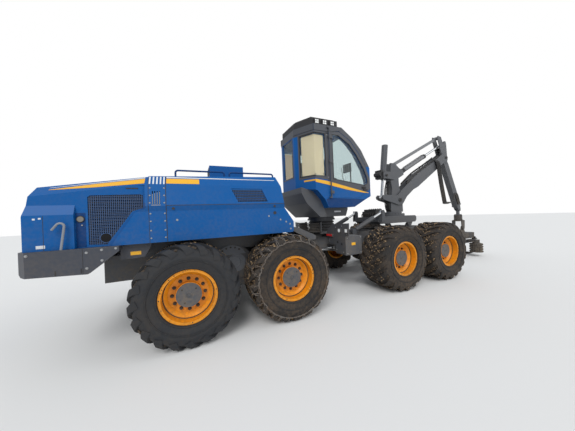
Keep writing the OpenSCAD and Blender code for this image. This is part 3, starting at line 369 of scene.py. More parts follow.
class Paintbox:
    """Makes each material once and hands it out."""

    effects: Dict[str, bpy.types.ShaderNodeTree] = {}
    made: Dict[str, bpy.types.Material] = {}

    @classmethod
    def get(cls, finish: Finish) -> bpy.types.Material:
        """Returns the material of a finish, made at its first use."""
        if not cls.effects:
            cls.effects.update({"wear": edge_wear(), "dust": dust_coat(), "grain": grain()})
        if finish.name not in cls.made:
            cls.made[finish.name] = finish.material(cls.effects)
        return cls.made[finish.name]


# Mesh work


class Form:
    """Collects small solids in metres and makes one object of them."""

    def __init__(self) -> None:
        """Starts with nothing in it."""
        self.mesh = bmesh.new()

    def skin(self, rings: Sequence[Sequence[bmesh.types.BMVert]]) -> None:
        """Joins rings of the same number of corners, each to the next."""
        for first, second in zip(rings, rings[1:]):
            for k in range(len(first)):
                j = (k + 1) % len(first)
                self.mesh.faces.new([first[k], first[j], second[j], second[k]])

    def box(self, low: Point, high: Point) -> None:
        """Adds a box between two corners."""
        made = [self.mesh.verts.new((x, y, z)) for x in (low[0], high[0]) for y in (low[1], high[1])
                for z in (low[2], high[2])]
        for quad in ((0, 1, 3, 2), (4, 6, 7, 5), (0, 4, 5, 1), (2, 3, 7, 6), (0, 2, 6, 4), (1, 5, 7, 3)):
            self.mesh.faces.new([made[i] for i in quad])

    def prism(self, outline: Sequence[Point], offset: Point) -> None:
        """Adds a plate from an outline's corners and the vector of its thickness."""
        first = [self.mesh.verts.new(Vector(p)) for p in outline]
        second = [self.mesh.verts.new(Vector(p) + Vector(offset)) for p in outline]
        self.mesh.faces.new(first)
        self.mesh.faces.new(second[::-1])
        self.skin((second, first))

    def rod(self, start: Point, end: Point, radius: float, sides: int = 12,
            top: Optional[float] = None) -> None:
        """Adds a round bar, or a cone when the end has its own radius.

        Args:
            start: centre of one end.
            end: centre of the other end.
            radius: radius at the start.
            sides: faces round the bar.
            top: radius at the end, where it differs.
        """
        a, b = Vector(start), Vector(end)
        turn = (b - a).to_track_quat("Z", "Y").to_matrix().to_4x4()
        bmesh.ops.create_cone(self.mesh, cap_ends=True, segments=sides, radius1=radius,
                              radius2=radius if top is None else top, depth=(b - a).length,
                              matrix=Matrix.Translation((a + b) / 2) @ turn)

    def tube(self, points: Sequence[Point], radius: float, sides: int = 10, smooth: int = 6) -> None:
        """Adds a hose along a smooth path through the points.

        Args:
            points: the path's points.
            radius: radius of the hose.
            sides: faces round it.
            smooth: steps between two points.
        """
        path = smooth_path([Vector(p) for p in points], smooth)
        rings = []
        side = None
        for i, p in enumerate(path):
            ahead = (path[min(i + 1, len(path) - 1)] - path[max(i - 1, 0)]).normalized()
            if side is None:
                side = ahead.orthogonal().normalized()
            side = (side - ahead * side.dot(ahead)).normalized()
            up = ahead.cross(side)
            turns = [FULL_TURN * k / sides for k in range(sides)]
            rings.append([self.mesh.verts.new(p + side * math.cos(a) * radius + up * math.sin(a) * radius)
                          for a in turns])
        self.skin(rings)
        self.mesh.faces.new(rings[0][::-1])
        self.mesh.faces.new(rings[-1])

    def ring(self, centre: Point, axis: Point, radius: float, thick: float, sides: int = 40,
             section: int = 10) -> None:
        """Adds a torus.

        Args:
            centre: its centre.
            axis: its axis.
            radius: radius of its centre line.
            thick: radius of its section.
            sides: steps round the ring.
            section: faces round the section.
        """
        turn = Vector(axis).to_track_quat("Z", "Y").to_matrix()
        rings = []
        for i in range(sides):
            out = level(FULL_TURN * i / sides)
            turns = [FULL_TURN * k / section for k in range(section)]
            rings.append([self.mesh.verts.new(Vector(centre) + turn @ (
                out * (radius + thick * math.cos(b)) + Vector((0, 0, thick * math.sin(b)))))
                          for b in turns])
        self.skin([*rings, rings[0]])

    def bolt(self, at: Point, axis: Point, size: float = 0.011, high: float = 0.009) -> None:
        """Adds a hexagon bolt head on a washer.

        Args:
            at: point on the surface.
            axis: outward direction.
            size: radius of the head.
            high: height of the head.
        """
        way = Vector(axis).normalized()
        base = Vector(at)
        self.rod(base - way * 0.001, base + way * 0.003, size * 1.45, 14)
        self.rod(base + way * 0.003, base + way * high, size, 6)

    def done(self, name: str, body: str, finish: Finish, soft: bool = True,
             slot: Optional[Slot] = None) -> bpy.types.Object:
        """Makes the object, gives it its finish and lets it ride.

        Args:
            name: the piece's name.
            body: the body that carries it.
            finish: its finish.
            soft: shades round faces smoothly, with sharp edges kept.
            slot: the record's finish that it belongs to, where it isn't the finish's own; not used.

        Returns:
            The new object.
        """
        bmesh.ops.recalc_face_normals(self.mesh, faces=self.mesh.faces)
        data = bpy.data.meshes.new(name)
        self.mesh.to_mesh(data)
        self.mesh.free()
        made = bpy.data.objects.new(name, data)
        bpy.context.scene.collection.objects.link(made)
        data.materials.append(Paintbox.get(finish))
        if soft:
            data.shade_smooth()
            data.set_sharp_from_angle(angle=SOFT_ANGLE)
        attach(made, body)
        LOG.info("%s: %d faces on %s", name, len(data.polygons), body)
        return made


def smooth_path(points: List[Vector], steps: int) -> List[Vector]:
    """Runs a Catmull-Rom line through points, with a number of steps between two of them."""
    ends = [points[0] * 2 - points[1], *points, points[-1] * 2 - points[-2]]
    line = []
    for i in range(1, len(ends) - 2):
        p0, p1, p2, p3 = ends[i - 1:i + 3]
        for k in range(steps):
            t = k / steps
            line.append(0.5 * (p1 * 2 + (p2 - p0) * t + (p0 * 2 - p1 * 5 + p2 * 4 - p3) * t * t
                               + (p1 * 3 - p0 - p2 * 3 + p3) * t * t * t))
    return [*line, points[-1]]


def upright(angle: float) -> Vector:
    """Returns the unit vector at an angle in the upright plane of x and z."""
    return Vector((math.cos(angle), 0, math.sin(angle)))


def level(angle: float) -> Vector:
    """Returns the unit vector at an angle in the level plane."""
    return Vector((math.cos(angle), math.sin(angle), 0))


def arc(x: float, z: float, radius: float, start: float, end: float) -> List[Pair]:
    """Returns the seven points of an arc about x and z, from one angle in degrees to another."""
    turns = [math.radians(start + (end - start) * k / 6) for k in range(7)]
    return [(x + radius * math.cos(a), z + radius * math.sin(a)) for a in turns]


def spans(outline: Line, at: float, along: int) -> List[float]:
    """Cuts a closed outline with a straight line.

    Args:
        outline: corners in order.
        at: place of the line on the other axis.
        along: axis that the line runs along, 0 or 1.

    Returns:
        The sorted crossings.
    """
    across = 1 - along
    found = []
    for p, q in zip(outline, [*outline[1:], outline[0]]):
        if (p[across] - at) * (q[across] - at) < 0:
            share = (at - p[across]) / (q[across] - p[across])
            found.append(p[along] + (q[along] - p[along]) * share)
    return sorted(found)


@dataclass
class Layout:
    """Driving places of the machine, read from the frame."""

    rear_x: float = field(init=False)
    cab_x: float = field(init=False)
    crane_x: float = field(init=False)

    def __post_init__(self) -> None:
        """Reads the places of the bogies, and sets those of the cab and the crane."""
        self.rear_x, front_x = (
            (self.middle(f"tyre_{end}1").x + self.middle(f"tyre_{end}2").x) / 2 for end in ("rr", "fr"))
        self.cab_x = self.rear_x + 2.230
        self.crane_x = front_x + 0.608

    @staticmethod
    def middle(node: str) -> Vector:
        """Returns the middle of a node's box."""
        low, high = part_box(node)
        return (low + high) / 2

    def at(self, x: float, y: float, z: float) -> Point:
        """Returns a point given from the rear bogie's pivot."""
        return (self.rear_x + x, y, z)

    def cab(self, x: float, y: float, z: float) -> Point:
        """Returns a point given from the cab's turning axis."""
        return (self.cab_x + x, y, z)

    def crane(self, x: float, y: float, z: float) -> Point:
        """Returns a point given from the boom's foot pin."""
        return (self.crane_x + 0.250 + x, y, 1.980 + z)


@dataclass
class Wheels:
    """Bolts, hub covers, chains and mud of the eight wheels."""

    rim_face: float = 0.207
    hub_r: float = 0.165
    rim_bolts: int = 12
    chips: int = 16
    clods: int = 260
    lug_top: float = 0.6725
    net_edge: float = 0.343
    net_inner: float = 0.12
    muddy: Tuple[str, ...] = ("rr2", "rl2", "fr1", "fl1", "fr2", "fl2")
    chained: Tuple[str, ...] = ("rr2", "rl2")
    carcass: Tuple[Pair, ...] = (
        (0.0, 0.6345), (0.225, 0.6345), (0.289, 0.6225), (0.335, 0.5845), (0.350, 0.5125), (0.352, 0.30))

    def build(self) -> None:
        """Dresses every wheel."""
        for end in "rf":
            for side, sign in zip("rl", SIDES):
                for i in (1, 2):
                    self.dress(f"{end}{side}{i}", sign)

    def dress(self, name: str, sign: int) -> None:
        """Adds all of one wheel's small pieces.

        Args:
            name: the wheel's short name.
            sign: the side as the sign of y.
        """
        body = f"wheel_{name}"
        centre = Layout.middle(f"rim_{name}")
        out = Vector((0, sign, 0))
        face = centre + out * self.rim_face
        cover = Form()
        cover.rod(face - out * 0.004, face + out * 0.010, self.hub_r * 0.96, 40)
        cover.ring(face + out * 0.011, out, 0.033, 0.005, 28, 6)
        cover.rod(face + out * 0.008, face + out * 0.016, 0.014, 12)
        cover.done(f"hub_cover_{name}", body, FRAME)
        bolts = Form()
        for a in (0.7, 2.4, 4.2):
            spot = face + upright(a) * 0.112 + out * 0.0095
            bolts.rod(spot, spot + out * 0.0015, 0.011, 14)
        bolts.ring(centre + out * (self.rim_face - 0.011), out, 0.306, 0.006, 60, 6)
        dice = random.Random(name + " lip")
        for _ in range(self.chips):
            a = dice.uniform(0, FULL_TURN)
            spot = centre + upright(a) * dice.uniform(0.330, 0.347) + out * 0.3045
            bolts.rod(spot, spot + out * 0.0013, dice.uniform(0.004, 0.009), 7)
        disc = centre + out * (self.rim_face - 0.066)
        for i in range(self.rim_bolts):
            spot = disc + upright(FULL_TURN * i / self.rim_bolts) * (self.hub_r + 0.038)
            bolts.bolt(spot, out, 0.017, 0.026)
        bolts.done(f"wheel_bolts_{name}", body, GRIMY)
        self.litter(name, centre)
        if name in self.chained:
            self.chain(name, centre)
        beads = Form()
        beads.ring(centre + out * 0.322, out, 0.372, 0.010, 64, 8)
        beads.ring(centre + out * 0.350, out, 0.470, 0.006, 64, 6)
        beads.done(f"tyre_beads_{name}", body, TYRE)

    def tread(self, offset: float) -> float:
        """Returns the radius of the tyre's carcass at an offset from its middle."""
        for (y0, r0), (y1, r1) in zip(self.carcass, self.carcass[1:]):
            if y0 <= abs(offset) <= y1:
                return r0 + (r1 - r0) * (abs(offset) - y0) / (y1 - y0)
        return 0.5

    def litter(self, name: str, centre: Vector) -> None:
        """Scatters leaves and clods over one tyre.

        Args:
            name: the wheel's short name.
            centre: the wheel's centre.
        """
        leaves, clods = Form(), Form()
        dice = random.Random(name)
        heavy = name in self.muddy
        for _ in range(2200 if name in self.chained else 1000 if heavy else 600):
            a = dice.uniform(0, FULL_TURN)
            y = dice.uniform(-0.342, 0.342) if heavy else dice.triangular(-0.30, 0.30, 0)
            on_lug = abs(y) < 0.24 and dice.random() < 0.35
            r = self.lug_top if on_lug else self.tread(y) + dice.uniform(0.002, 0.016)
            out = upright(a)
            along = Vector((-math.sin(a), 0, math.cos(a)))
            turn = dice.uniform(0, math.pi)
            u = along * math.cos(turn) + Vector((0, 1, 0)) * math.sin(turn) + out * dice.uniform(-0.5, 0.5)
            v = u.cross(out).normalized()
            size = dice.uniform(0.009, 0.027) if heavy else dice.uniform(0.007, 0.018)
            spot = centre + out * r + Vector((0, y, 0))
            leaves.prism([spot - u * size, spot + v * size * 0.5 + out * 0.003, spot + u * size,
                          spot - v * size * 0.5], out * 0.0015)
        for _ in range(self.clods):
            a, y = dice.uniform(0, FULL_TURN), dice.uniform(-0.30, 0.30)
            out = upright(a)
            size = dice.uniform(0.015, 0.045)
            spot = centre + out * (self.tread(y) - 0.004) + Vector((0, y, 0))
            flat = Matrix.Diagonal((1.0, dice.uniform(0.5, 1.2), 0.45, 1.0))
            turn = out.to_track_quat("Z", "Y").to_matrix().to_4x4()
            bmesh.ops.create_icosphere(clods.mesh, subdivisions=1, radius=size,
                                       matrix=Matrix.Translation(spot) @ (turn @ flat))
        leaves.done(f"leaf_litter_{name}", f"wheel_{name}", LEAF, soft=False)
        clods.done(f"mud_clods_{name}", f"wheel_{name}", BROWN_DIRT)

    def chain(self, name: str, centre: Vector, steps: int = 28) -> None:
        """Lays a net of chain round one tyre.

        Args:
            name: the wheel's short name.
            centre: the wheel's centre.
            steps: meshes of the net round the tyre.
        """
        links = Form()

        def spot(turn: float, y: float) -> Vector:
            """Returns a point over the lugs at a turn and an offset."""
            r = min(self.tread(y) + 0.040, 0.671)
            return centre + Vector((math.cos(turn) * r, y, math.sin(turn) * r))

        def run(a: Pair, b: Pair, count: int) -> None:
            """Adds a row of links between two points given by turn and offset."""
            points = [spot(*(p + (q - p) * k / count for p, q in zip(a, b))) for k in range(count + 1)]
            for k, (p, q) in enumerate(zip(points, points[1:])):
                way, up = (q - p).normalized(), (p - centre).normalized()
                side = way.cross(up).normalized() * 0.013 if k % 2 else up * 0.005
                for s in SIDES:
                    links.rod(p + side * s - way * 0.004, q + side * s + way * 0.004, 0.0062, 6)

        for i in range(steps):
            a, b = FULL_TURN * i / steps, FULL_TURN * (i + 1) / steps
            for y in (-self.net_edge, self.net_edge):
                run((a, y), (b, y), 3)
            m = (a + b) / 2
            if i % 2 == 0:
                for s in SIDES:
                    run((a, s * self.net_edge), (m, s * self.net_inner), 6)
                    run((m, s * self.net_inner), (b, s * self.net_edge), 6)
                run((m, -self.net_inner), (m, self.net_inner), 6)
        links.done(f"tyre_chain_{name}", f"wheel_{name}", CHAIN)


@dataclass(frozen=True)
class Profile:
    """Cross-section of one body part, as half widths and heights from below to the roof."""

    corners: Tuple[Pair, ...]

    def side(self, z: float) -> float:
        """Returns the half width at a height."""
        for (y0, z0), (y1, z1) in zip(self.corners, self.corners[1:]):
            if z0 <= z <= z1:
                return y0 + (y1 - y0) * (z - z0) / (z1 - z0)
        return self.corners[-1][0]

    def clipped(self, low: float, high: float) -> List[Pair]:
        """Returns the outline's corners between two heights."""
        inner = [c for c in self.corners if low < c[1] < high]
        return [(self.side(low), low), *inner, (self.side(high), high)]


TANK = Profile(((1.195, 1.380), (1.195, 1.790), (1.220, 1.860), (1.160, 2.150), (1.030, 2.330)))
HOOD = Profile(((1.195, 1.380), (1.195, 1.790), (1.220, 1.860), (1.160, 2.110), (1.030, 2.290)))


@dataclass
class Body:
    """Rails, stripes, seams, meshes and fittings of the hood, the tank body and the platform."""

    layout: Layout
    half: float = 1.195
    slots: Tuple[float, ...] = (-1.145, -1.118, -1.091, -1.064)
    vent: Tuple[Pair, ...] = (
        (-1.815, 1.410), (-1.640, 1.400), (-1.370, 1.800), (-1.250, 1.840), (-1.250, 2.005),
        (-1.280, 2.020), (-1.790, 2.005), (-1.815, 1.985))
    louvre: Tuple[Pair, ...] = ((-0.026, 1.900), (0.448, 1.900), (0.365, 2.105), (-0.121, 2.105))

    @staticmethod
    def tank_roof(x: float) -> float:
        """Returns the height of the tank body's roof at a place along it."""
        return 2.275 + (x + 1.190) * 0.055 / 1.850

    @staticmethod
    def hood_roof(x: float) -> float:
        """Returns the height of the hood's roof at a place along it."""
        return 2.110 + (x + 2.305) * 0.165 / 1.115

    def block(self, form: Form, x: Pair, y: Pair, z: Pair, sign: int) -> None:
        """Adds a box by its ends along each axis, with y outward on one side."""
        y0, y1 = sorted((sign * y[0], sign * y[1]))
        form.box(self.layout.at(x[0], y0, z[0]), self.layout.at(x[1], y1, z[1]))

    def plate(self, form: Form, outline: Line, y: Callable[[float], float], thick: float, sign: int) -> None:
        """Adds a plate on one side.

        Args:
            form: the piece that gets it.
            outline: corners as place along the body and height.
            y: gives the place outward at a height.
            thick: thickness, outward.
            sign: the side as the sign of y.
        """
        form.prism([self.layout.at(x, sign * y(z), z) for x, z in outline], (0, sign * thick, 0))

    def peg(self, form: Form, x: float, y: Pair, z: float, radius: float, sides: int, sign: int) -> None:
        """Adds a round bar that points outward between two places of y."""
        form.rod(self.layout.at(x, sign * y[0], z), self.layout.at(x, sign * y[1], z), radius, sides)

    def ribbon(self, form: Form, profile: Profile, x: Pair, z: Pair, sign: int,
               thick: float = 0.0010) -> None:
        """Lays a thin strip over the outside of a body part.

        Args:
            form: the piece that gets the strip.
            profile: the part's cross-section.
            x: rear and front end.
            z: lower and upper height.
            sign: the side as the sign of y.
            thick: thickness of the strip.
        """
        corners = profile.clipped(*z)
        for low, high in zip(corners, corners[1:]):
            self.lay(form, [(x[0], *low), (x[1], *low), (x[1], *high), (x[0], *high)], low, high, sign, thick)

    def lay(self, form: Form, outline: Sequence[Point], low: Pair, high: Pair, sign: int,
            thick: float = 0.0012) -> None:
        """Lays a plate on one slanting face.

        Args:
            form: the piece that gets it.
            outline: corners as place along the body, half width and height.
            low: lower edge of the face, as half width and height.
            high: upper edge of the face.
            sign: the side as the sign of y.
            thick: thickness of the plate.
        """
        way = Vector((0, high[1] - low[1], low[0] - high[0])).normalized()
        lift = Vector((0, sign * way.y, way.z))
        corners = [Vector(self.layout.at(x, sign * y, z)) + lift * 0.0004 for x, y, z in outline]
        form.prism(corners, lift * thick)

    def stripe(self, form: Form, rear: Tuple[float, float, float], front: Tuple[float, float, float],
               sign: int) -> None:
        """Lays one tapering stripe on the tank body's sloping edge.

        Args:
            form: the piece that gets the stripe.
            rear: place, lower and upper height of its rear end.
            front: the same of its front end.
            sign: the side as the sign of y.
        """
        ends = [(rear[0], rear[1]), (front[0], front[1]), (front[0], front[2]), (rear[0], rear[2])]
        self.lay(form, [(x, TANK.side(z), z) for x, z in ends], *TANK.corners[-2:], sign)

    def slope(self, form: Form, table: Sequence[Tuple[float, float, float]], sign: int) -> None:
        """Lays a stripe on the slanting edge of the hood's roof.

        Args:
            form: the piece that gets it.
            table: place along the hood with the stripe's upper and lower drop below the roof.
            sign: the side as the sign of y.
        """
        for (x0, high0, low0), (x1, high1, low1) in zip(table, table[1:]):
            outline = [Vector(self.layout.at(x, sign * (1.020 + drop * 220 / 195), self.hood_roof(x) - drop))
                       for x, drop in ((x0, high0), (x1, high1), (x1, low1), (x0, low0))]
            lift = (outline[1] - outline[0]).cross(outline[3] - outline[0]).normalized()
            if lift.z < 0:
                lift = -lift
            form.prism([p + lift * 0.0006 for p in outline], lift * 0.0012)

    def rails(self) -> None:
        """Bends the roof's rails and the grab canes from round bars, in place of the plain ones."""
        bars = Form()
        for sign in SIDES:
            for x0, x1 in ((-0.870, -0.180), (-0.100, 0.640)):
                line = [(x0, self.tank_roof(x0)), *arc(x0 + 0.035, 2.355, 0.035, 180, 90),
                        *arc(x1 - 0.035, 2.355, 0.035, 90, 0), (x1, self.tank_roof(x1))]
                bars.tube([self.layout.at(x, sign * 0.960, z) for x, z in line], 0.013, smooth=1)
            line = [(-2.030, 1.381), *arc(-2.030, 1.648, 0.035, -8, 144), (-2.102, 1.608)]
            bars.tube([self.layout.at(x, sign * 1.240, z) for x, z in line], 0.012, smooth=1)
        made = bars.done("round_rails", "rear_frame", DARK_BLUE_AND_SHADE, slot=Slot.FRAME)
        made.data.materials.append(Paintbox.get(RAIL))
        for face in made.data.polygons:
            face.material_index = int(face.center.z < 1.85)
        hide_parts("hand_rails")

    def stripes(self) -> None:
        """Adds the stripes along the roof's sloping edges and the bars of the strip panel."""
        yellow, white = Form(), Form()
        for sign in SIDES:
            self.stripe(yellow, (-0.978, 2.166, 2.242), (-0.560, 2.166, 2.242), sign)
            self.stripe(white, (-0.978, 2.252, 2.270), (0.62, 2.258, 2.266), sign)
            self.slope(yellow, ((-1.232, 0.030, 0.105), (-1.760, 0.035, 0.085), (-2.180, 0.052, 0.056)), sign)
            self.slope(white, ((-1.232, 0.008, 0.022), (-2.180, 0.026, 0.030)), sign)
            for x in (-1.172, -1.130, -1.088, -1.046, -1.006):
                self.ribbon(white, TANK, (x - 0.009, x + 0.009), (2.156, self.tank_roof(x) - 0.010), sign,
                            0.0012)
        yellow.done("yellow_stripes", "rear_frame", YELLOW, soft=False)
        white.done("white_stripes", "rear_frame", WHITE, soft=False)

    def seams(self) -> None:
        """Adds the dark seams between the panels, black sheets as painted shade in the slots that lie deep
        and behind the louvre, a darker blue plate as painted shade in the recess round the side lens, the
        slot bars and the plates under the body.
        """
        form, shade, bars, under = Form(), Form(), Form(), Form()
        for sign in SIDES:
            self.ribbon(form, TANK, (-0.989, -0.981), (1.385, self.tank_roof(-0.985) - 0.004), sign)
            self.ribbon(form, TANK, (-1.1885, -1.1835), (1.385, 2.250), sign)
            self.ribbon(form, HOOD, (-1.2235, -1.2190), (1.84, 2.110), sign)
            self.ribbon(form, TANK, (-0.98, 0.735), (1.861, 1.869), sign, 0.0012)
            for k, x in enumerate(self.slots):
                # Black sheet deep in each slot: painted shade inside the slot.
                self.block(form, (x + 0.001, x + 0.012), (1.1605, 1.1625), (1.882, 2.058), sign)
                x0, x1, high = x + 0.003, x + 0.010, 2.020 + 0.010 * k
                self.plate(bars, ((x0, 1.884), (x1, 1.884), (x1, high), (x0, high)),
                           lambda z: TANK.side(z) - 0.001, 0.003, sign)
            self.plate(bars, ((-1.152, 1.866), (-1.046, 1.866), (-1.046, 1.876), (-1.152, 1.876)),
                       lambda z: TANK.side(z) + 0.0005, 0.002, sign)
            # Black sheet behind the louvre mesh: painted shade in the louvre's recess.
            self.plate(form, self.louvre, lambda z: 1.1455, 0.001, sign)
            self.block(form, (-1.43, -1.30), (1.1505, 1.154), (2.088, 2.102), sign)
            self.block(form, (-2.192, -2.188), (1.1945, 1.1962), (1.385, 1.77), sign)
            # Painted shade: a darker blue plate in the recess round the side lens stands in for the shadow
            # that falls there.
            self.block(shade, (-1.925, -1.838), (1.1505, 1.1530), (1.390, 1.795), sign)
            self.block(under, (-1.500, -1.0605), (0.700, 0.764), (1.2005, 1.3795), sign)
        form.done("body_seams_and_slot_shade", "rear_frame", TRIM, soft=False)
        shade.done("recess_shade_panels", "rear_frame", DARK_BLUE_AND_SHADE, soft=False)
        bars.done("slot_bars", "rear_frame", RAIL, soft=False)
        under.done("under_plates", "rear_frame", FRAME, soft=False)

    def meshes(self) -> None:
        """Adds the wire mesh of the side grilles and of the louvres."""
        form = Form()
        for sign in SIDES:
            for k in range(27):
                x = -1.800 + k * 0.0205
                ends = spans(self.vent, x, 1)
                self.block(form, (x - 0.0026, x + 0.0026), (1.1398, 1.1440), (ends[0], ends[-1]), sign)
            for k in range(30):
                z = 1.418 + k * 0.0205
                ends = spans(self.vent, z, 0)
                self.block(form, (ends[0], ends[-1]), (1.137, 1.1400), (z - 0.0022, z + 0.0022), sign)
            for k in range(22):
                x = -0.105 + k * 0.025
                ends = spans(self.louvre, x, 1)
                low, high = max(ends[0], 1.902), ends[-1]
                self.plate(form, ((x - 0.002, low), (x + 0.002, low), (x + 0.002, high), (x - 0.002, high)),
                           lambda z: TANK.side(z) - 0.006, -0.004, sign)
            for k in range(7):
                z = 1.925 + k * 0.026
                ends = spans(self.louvre, z, 0)
                y = TANK.side(z) - 0.009
                self.block(form, (ends[0], ends[-1]), (y, y + 0.003), (z - 0.002, z + 0.002), sign)
        form.done("grille_meshes", "rear_frame", MESH, soft=False)

    def fittings(self) -> None:
        """Adds the bolts, latches, exhaust tips, side ports and their lenses."""
        bolts, dark, lens, rim, hole = Form(), Form(), Form(), Form(), Form()
        at = self.layout.at
        spots = [(x, self.half, z, 0.007) for x in (-1.168, -1.004) for z in (1.44, 1.54, 1.66, 1.76)]
        spots += [(x, TANK.side(z) + 0.0005, z, 0.007) for x in (-1.168, -1.004) for z in (1.90, 2.00, 2.10)]
        spots += [(x, self.half, z, 0.010) for x, z in (
            (-0.86, 1.665), (0.46, 1.665), (0.66, 1.60), (0.76, 1.56), (0.83, 1.52), (0.84, 1.44))]
        spots.append((-1.868, 1.156, 1.648, 0.006))
        for sign in SIDES:
            out = (0, sign, 0)
            for x, y, z, size in spots:
                bolts.bolt(at(x, sign * y, z), out, size, 0.006)
            for x, z, r in ((-0.90, 1.822, 0.018), (0.56, 1.826, 0.018), (0.565, 1.715, 0.026)):
                y = TANK.side(z)
                self.peg(dark, x, (y - 0.004, y + 0.006), z, r, 20, sign)
            self.peg(hole, -1.650, (1.100, 1.146), 1.482, 0.058, 30, sign)
            rim.ring(at(-1.650, sign * 1.146, 1.482), out, 0.058, 0.004, 30, 6)
            dark.ring(at(-1.882, sign * 1.158, 1.722), out, 0.034, 0.006, 24, 8)
            self.peg(lens, -1.882, (1.152, 1.164), 1.722, 0.031, 24, sign)
        bolts.done("body_bolts", "rear_frame", ZINC)
        dark.done("body_ports", "rear_frame", TRIM)
        lens.done("body_lenses", "rear_frame", DULL_LENS)
        hole.done("exhaust_ports", "rear_frame", HOLE)
        rim.done("exhaust_rings", "rear_frame", MESH)

    def labels(self) -> None:
        """Adds the labels and plates, all of them blank."""
        white, yellow = Form(), Form()
        for sign in SIDES:
            for x, z, w, h in ((-2.215, 1.425, 0.075, 0.035), (-2.262, 1.735, 0.022, 0.018),
                               (-2.215, 1.742, 0.022, 0.018)):
                self.block(white, (x - w / 2, x + w / 2), (1.1952, 1.1962), (z - h / 2, z + h / 2), sign)
            self.block(yellow, (-1.416, -1.300), (1.1183, 1.1193), (1.235, 1.280), sign)
        white.done("white_labels", "rear_frame", WHITE, soft=False)
        yellow.done("yellow_labels", "rear_frame", YELLOW, soft=False)

    def platform(self) -> None:
        """Adds the bolts, notches and seam of the rear platform."""
        dark, bolts = Form(), Form()
        at = self.layout.at
        for sign in SIDES:
            self.block(dark, (-1.842, -1.838), (1.2603, 1.2613), (1.085, 1.372), sign)
            for x in (-2.075, -1.855):
                self.block(dark, (x - 0.006, x + 0.006), (1.2603, 1.2615), (1.100, 1.155), sign)
            for x, z in ((-1.805, 1.330), (-1.805, 1.150), (-1.665, 1.350), (-1.665, 1.225), (-2.30, 1.345),
                         (-1.53, 1.355)):
                bolts.bolt(at(x, sign * 1.260, z), (0, sign, 0), 0.010, 0.008)
        for y in (-0.95, -0.72, 0.72, 0.95):
            for z in (1.17, 1.31):
                bolts.bolt(at(-2.420, y, z), (-1, 0, 0), 0.010, 0.008)
        for y in (-0.5, 0.5):
            dark.ring(at(-2.421, y, 1.200), (-1, 0, 0), 0.036, 0.007, 28, 8)
        dark.done("platform_notches", "rear_frame", TRIM)
        bolts.done("platform_bolts", "rear_frame", ZINC)

    def roof(self) -> None:
        """Adds the lids, the filler cap and the hinges of the roof."""
        lids, dark = Form(), Form()
        at, roof = self.layout.at, self.tank_roof
        for x, y in (((-0.95, -0.45), (0.10, 0.85)), ((0.30, 0.62), (-0.85, -0.20)),
                     ((0.30, 0.62), (0.20, 0.85))):
            lids.prism([at(x[i], y[k], roof(x[i]) + 0.0005) for i, k in ((0, 0), (1, 0), (1, 1), (0, 1))],
                       (0, 0, 0.012))
        lids.rod(at(0.46, 0.0, 2.320), at(0.46, 0.0, 2.365), 0.075, 28)
        for y in (-0.62, 0.62):
            for x in (-0.02, 0.16):
                dark.box(at(x - 0.05, y - 0.02, roof(x) - 0.002), at(x + 0.05, y + 0.02, roof(x) + 0.016))
        for x in (-0.373, 0.2005):
            dark.box(at(x, -0.60, 2.42), at(x + 0.0025, -0.20, 2.53))
        lids.done("roof_lids", "rear_frame", PANEL)
        dark.done("roof_hinges", "rear_frame", TRIM)

    def build(self) -> None:
        """Builds all of the body's small pieces."""
        for step in (self.rails, self.stripes, self.seams, self.meshes, self.fittings, self.labels,
                     self.platform, self.roof):
            step()


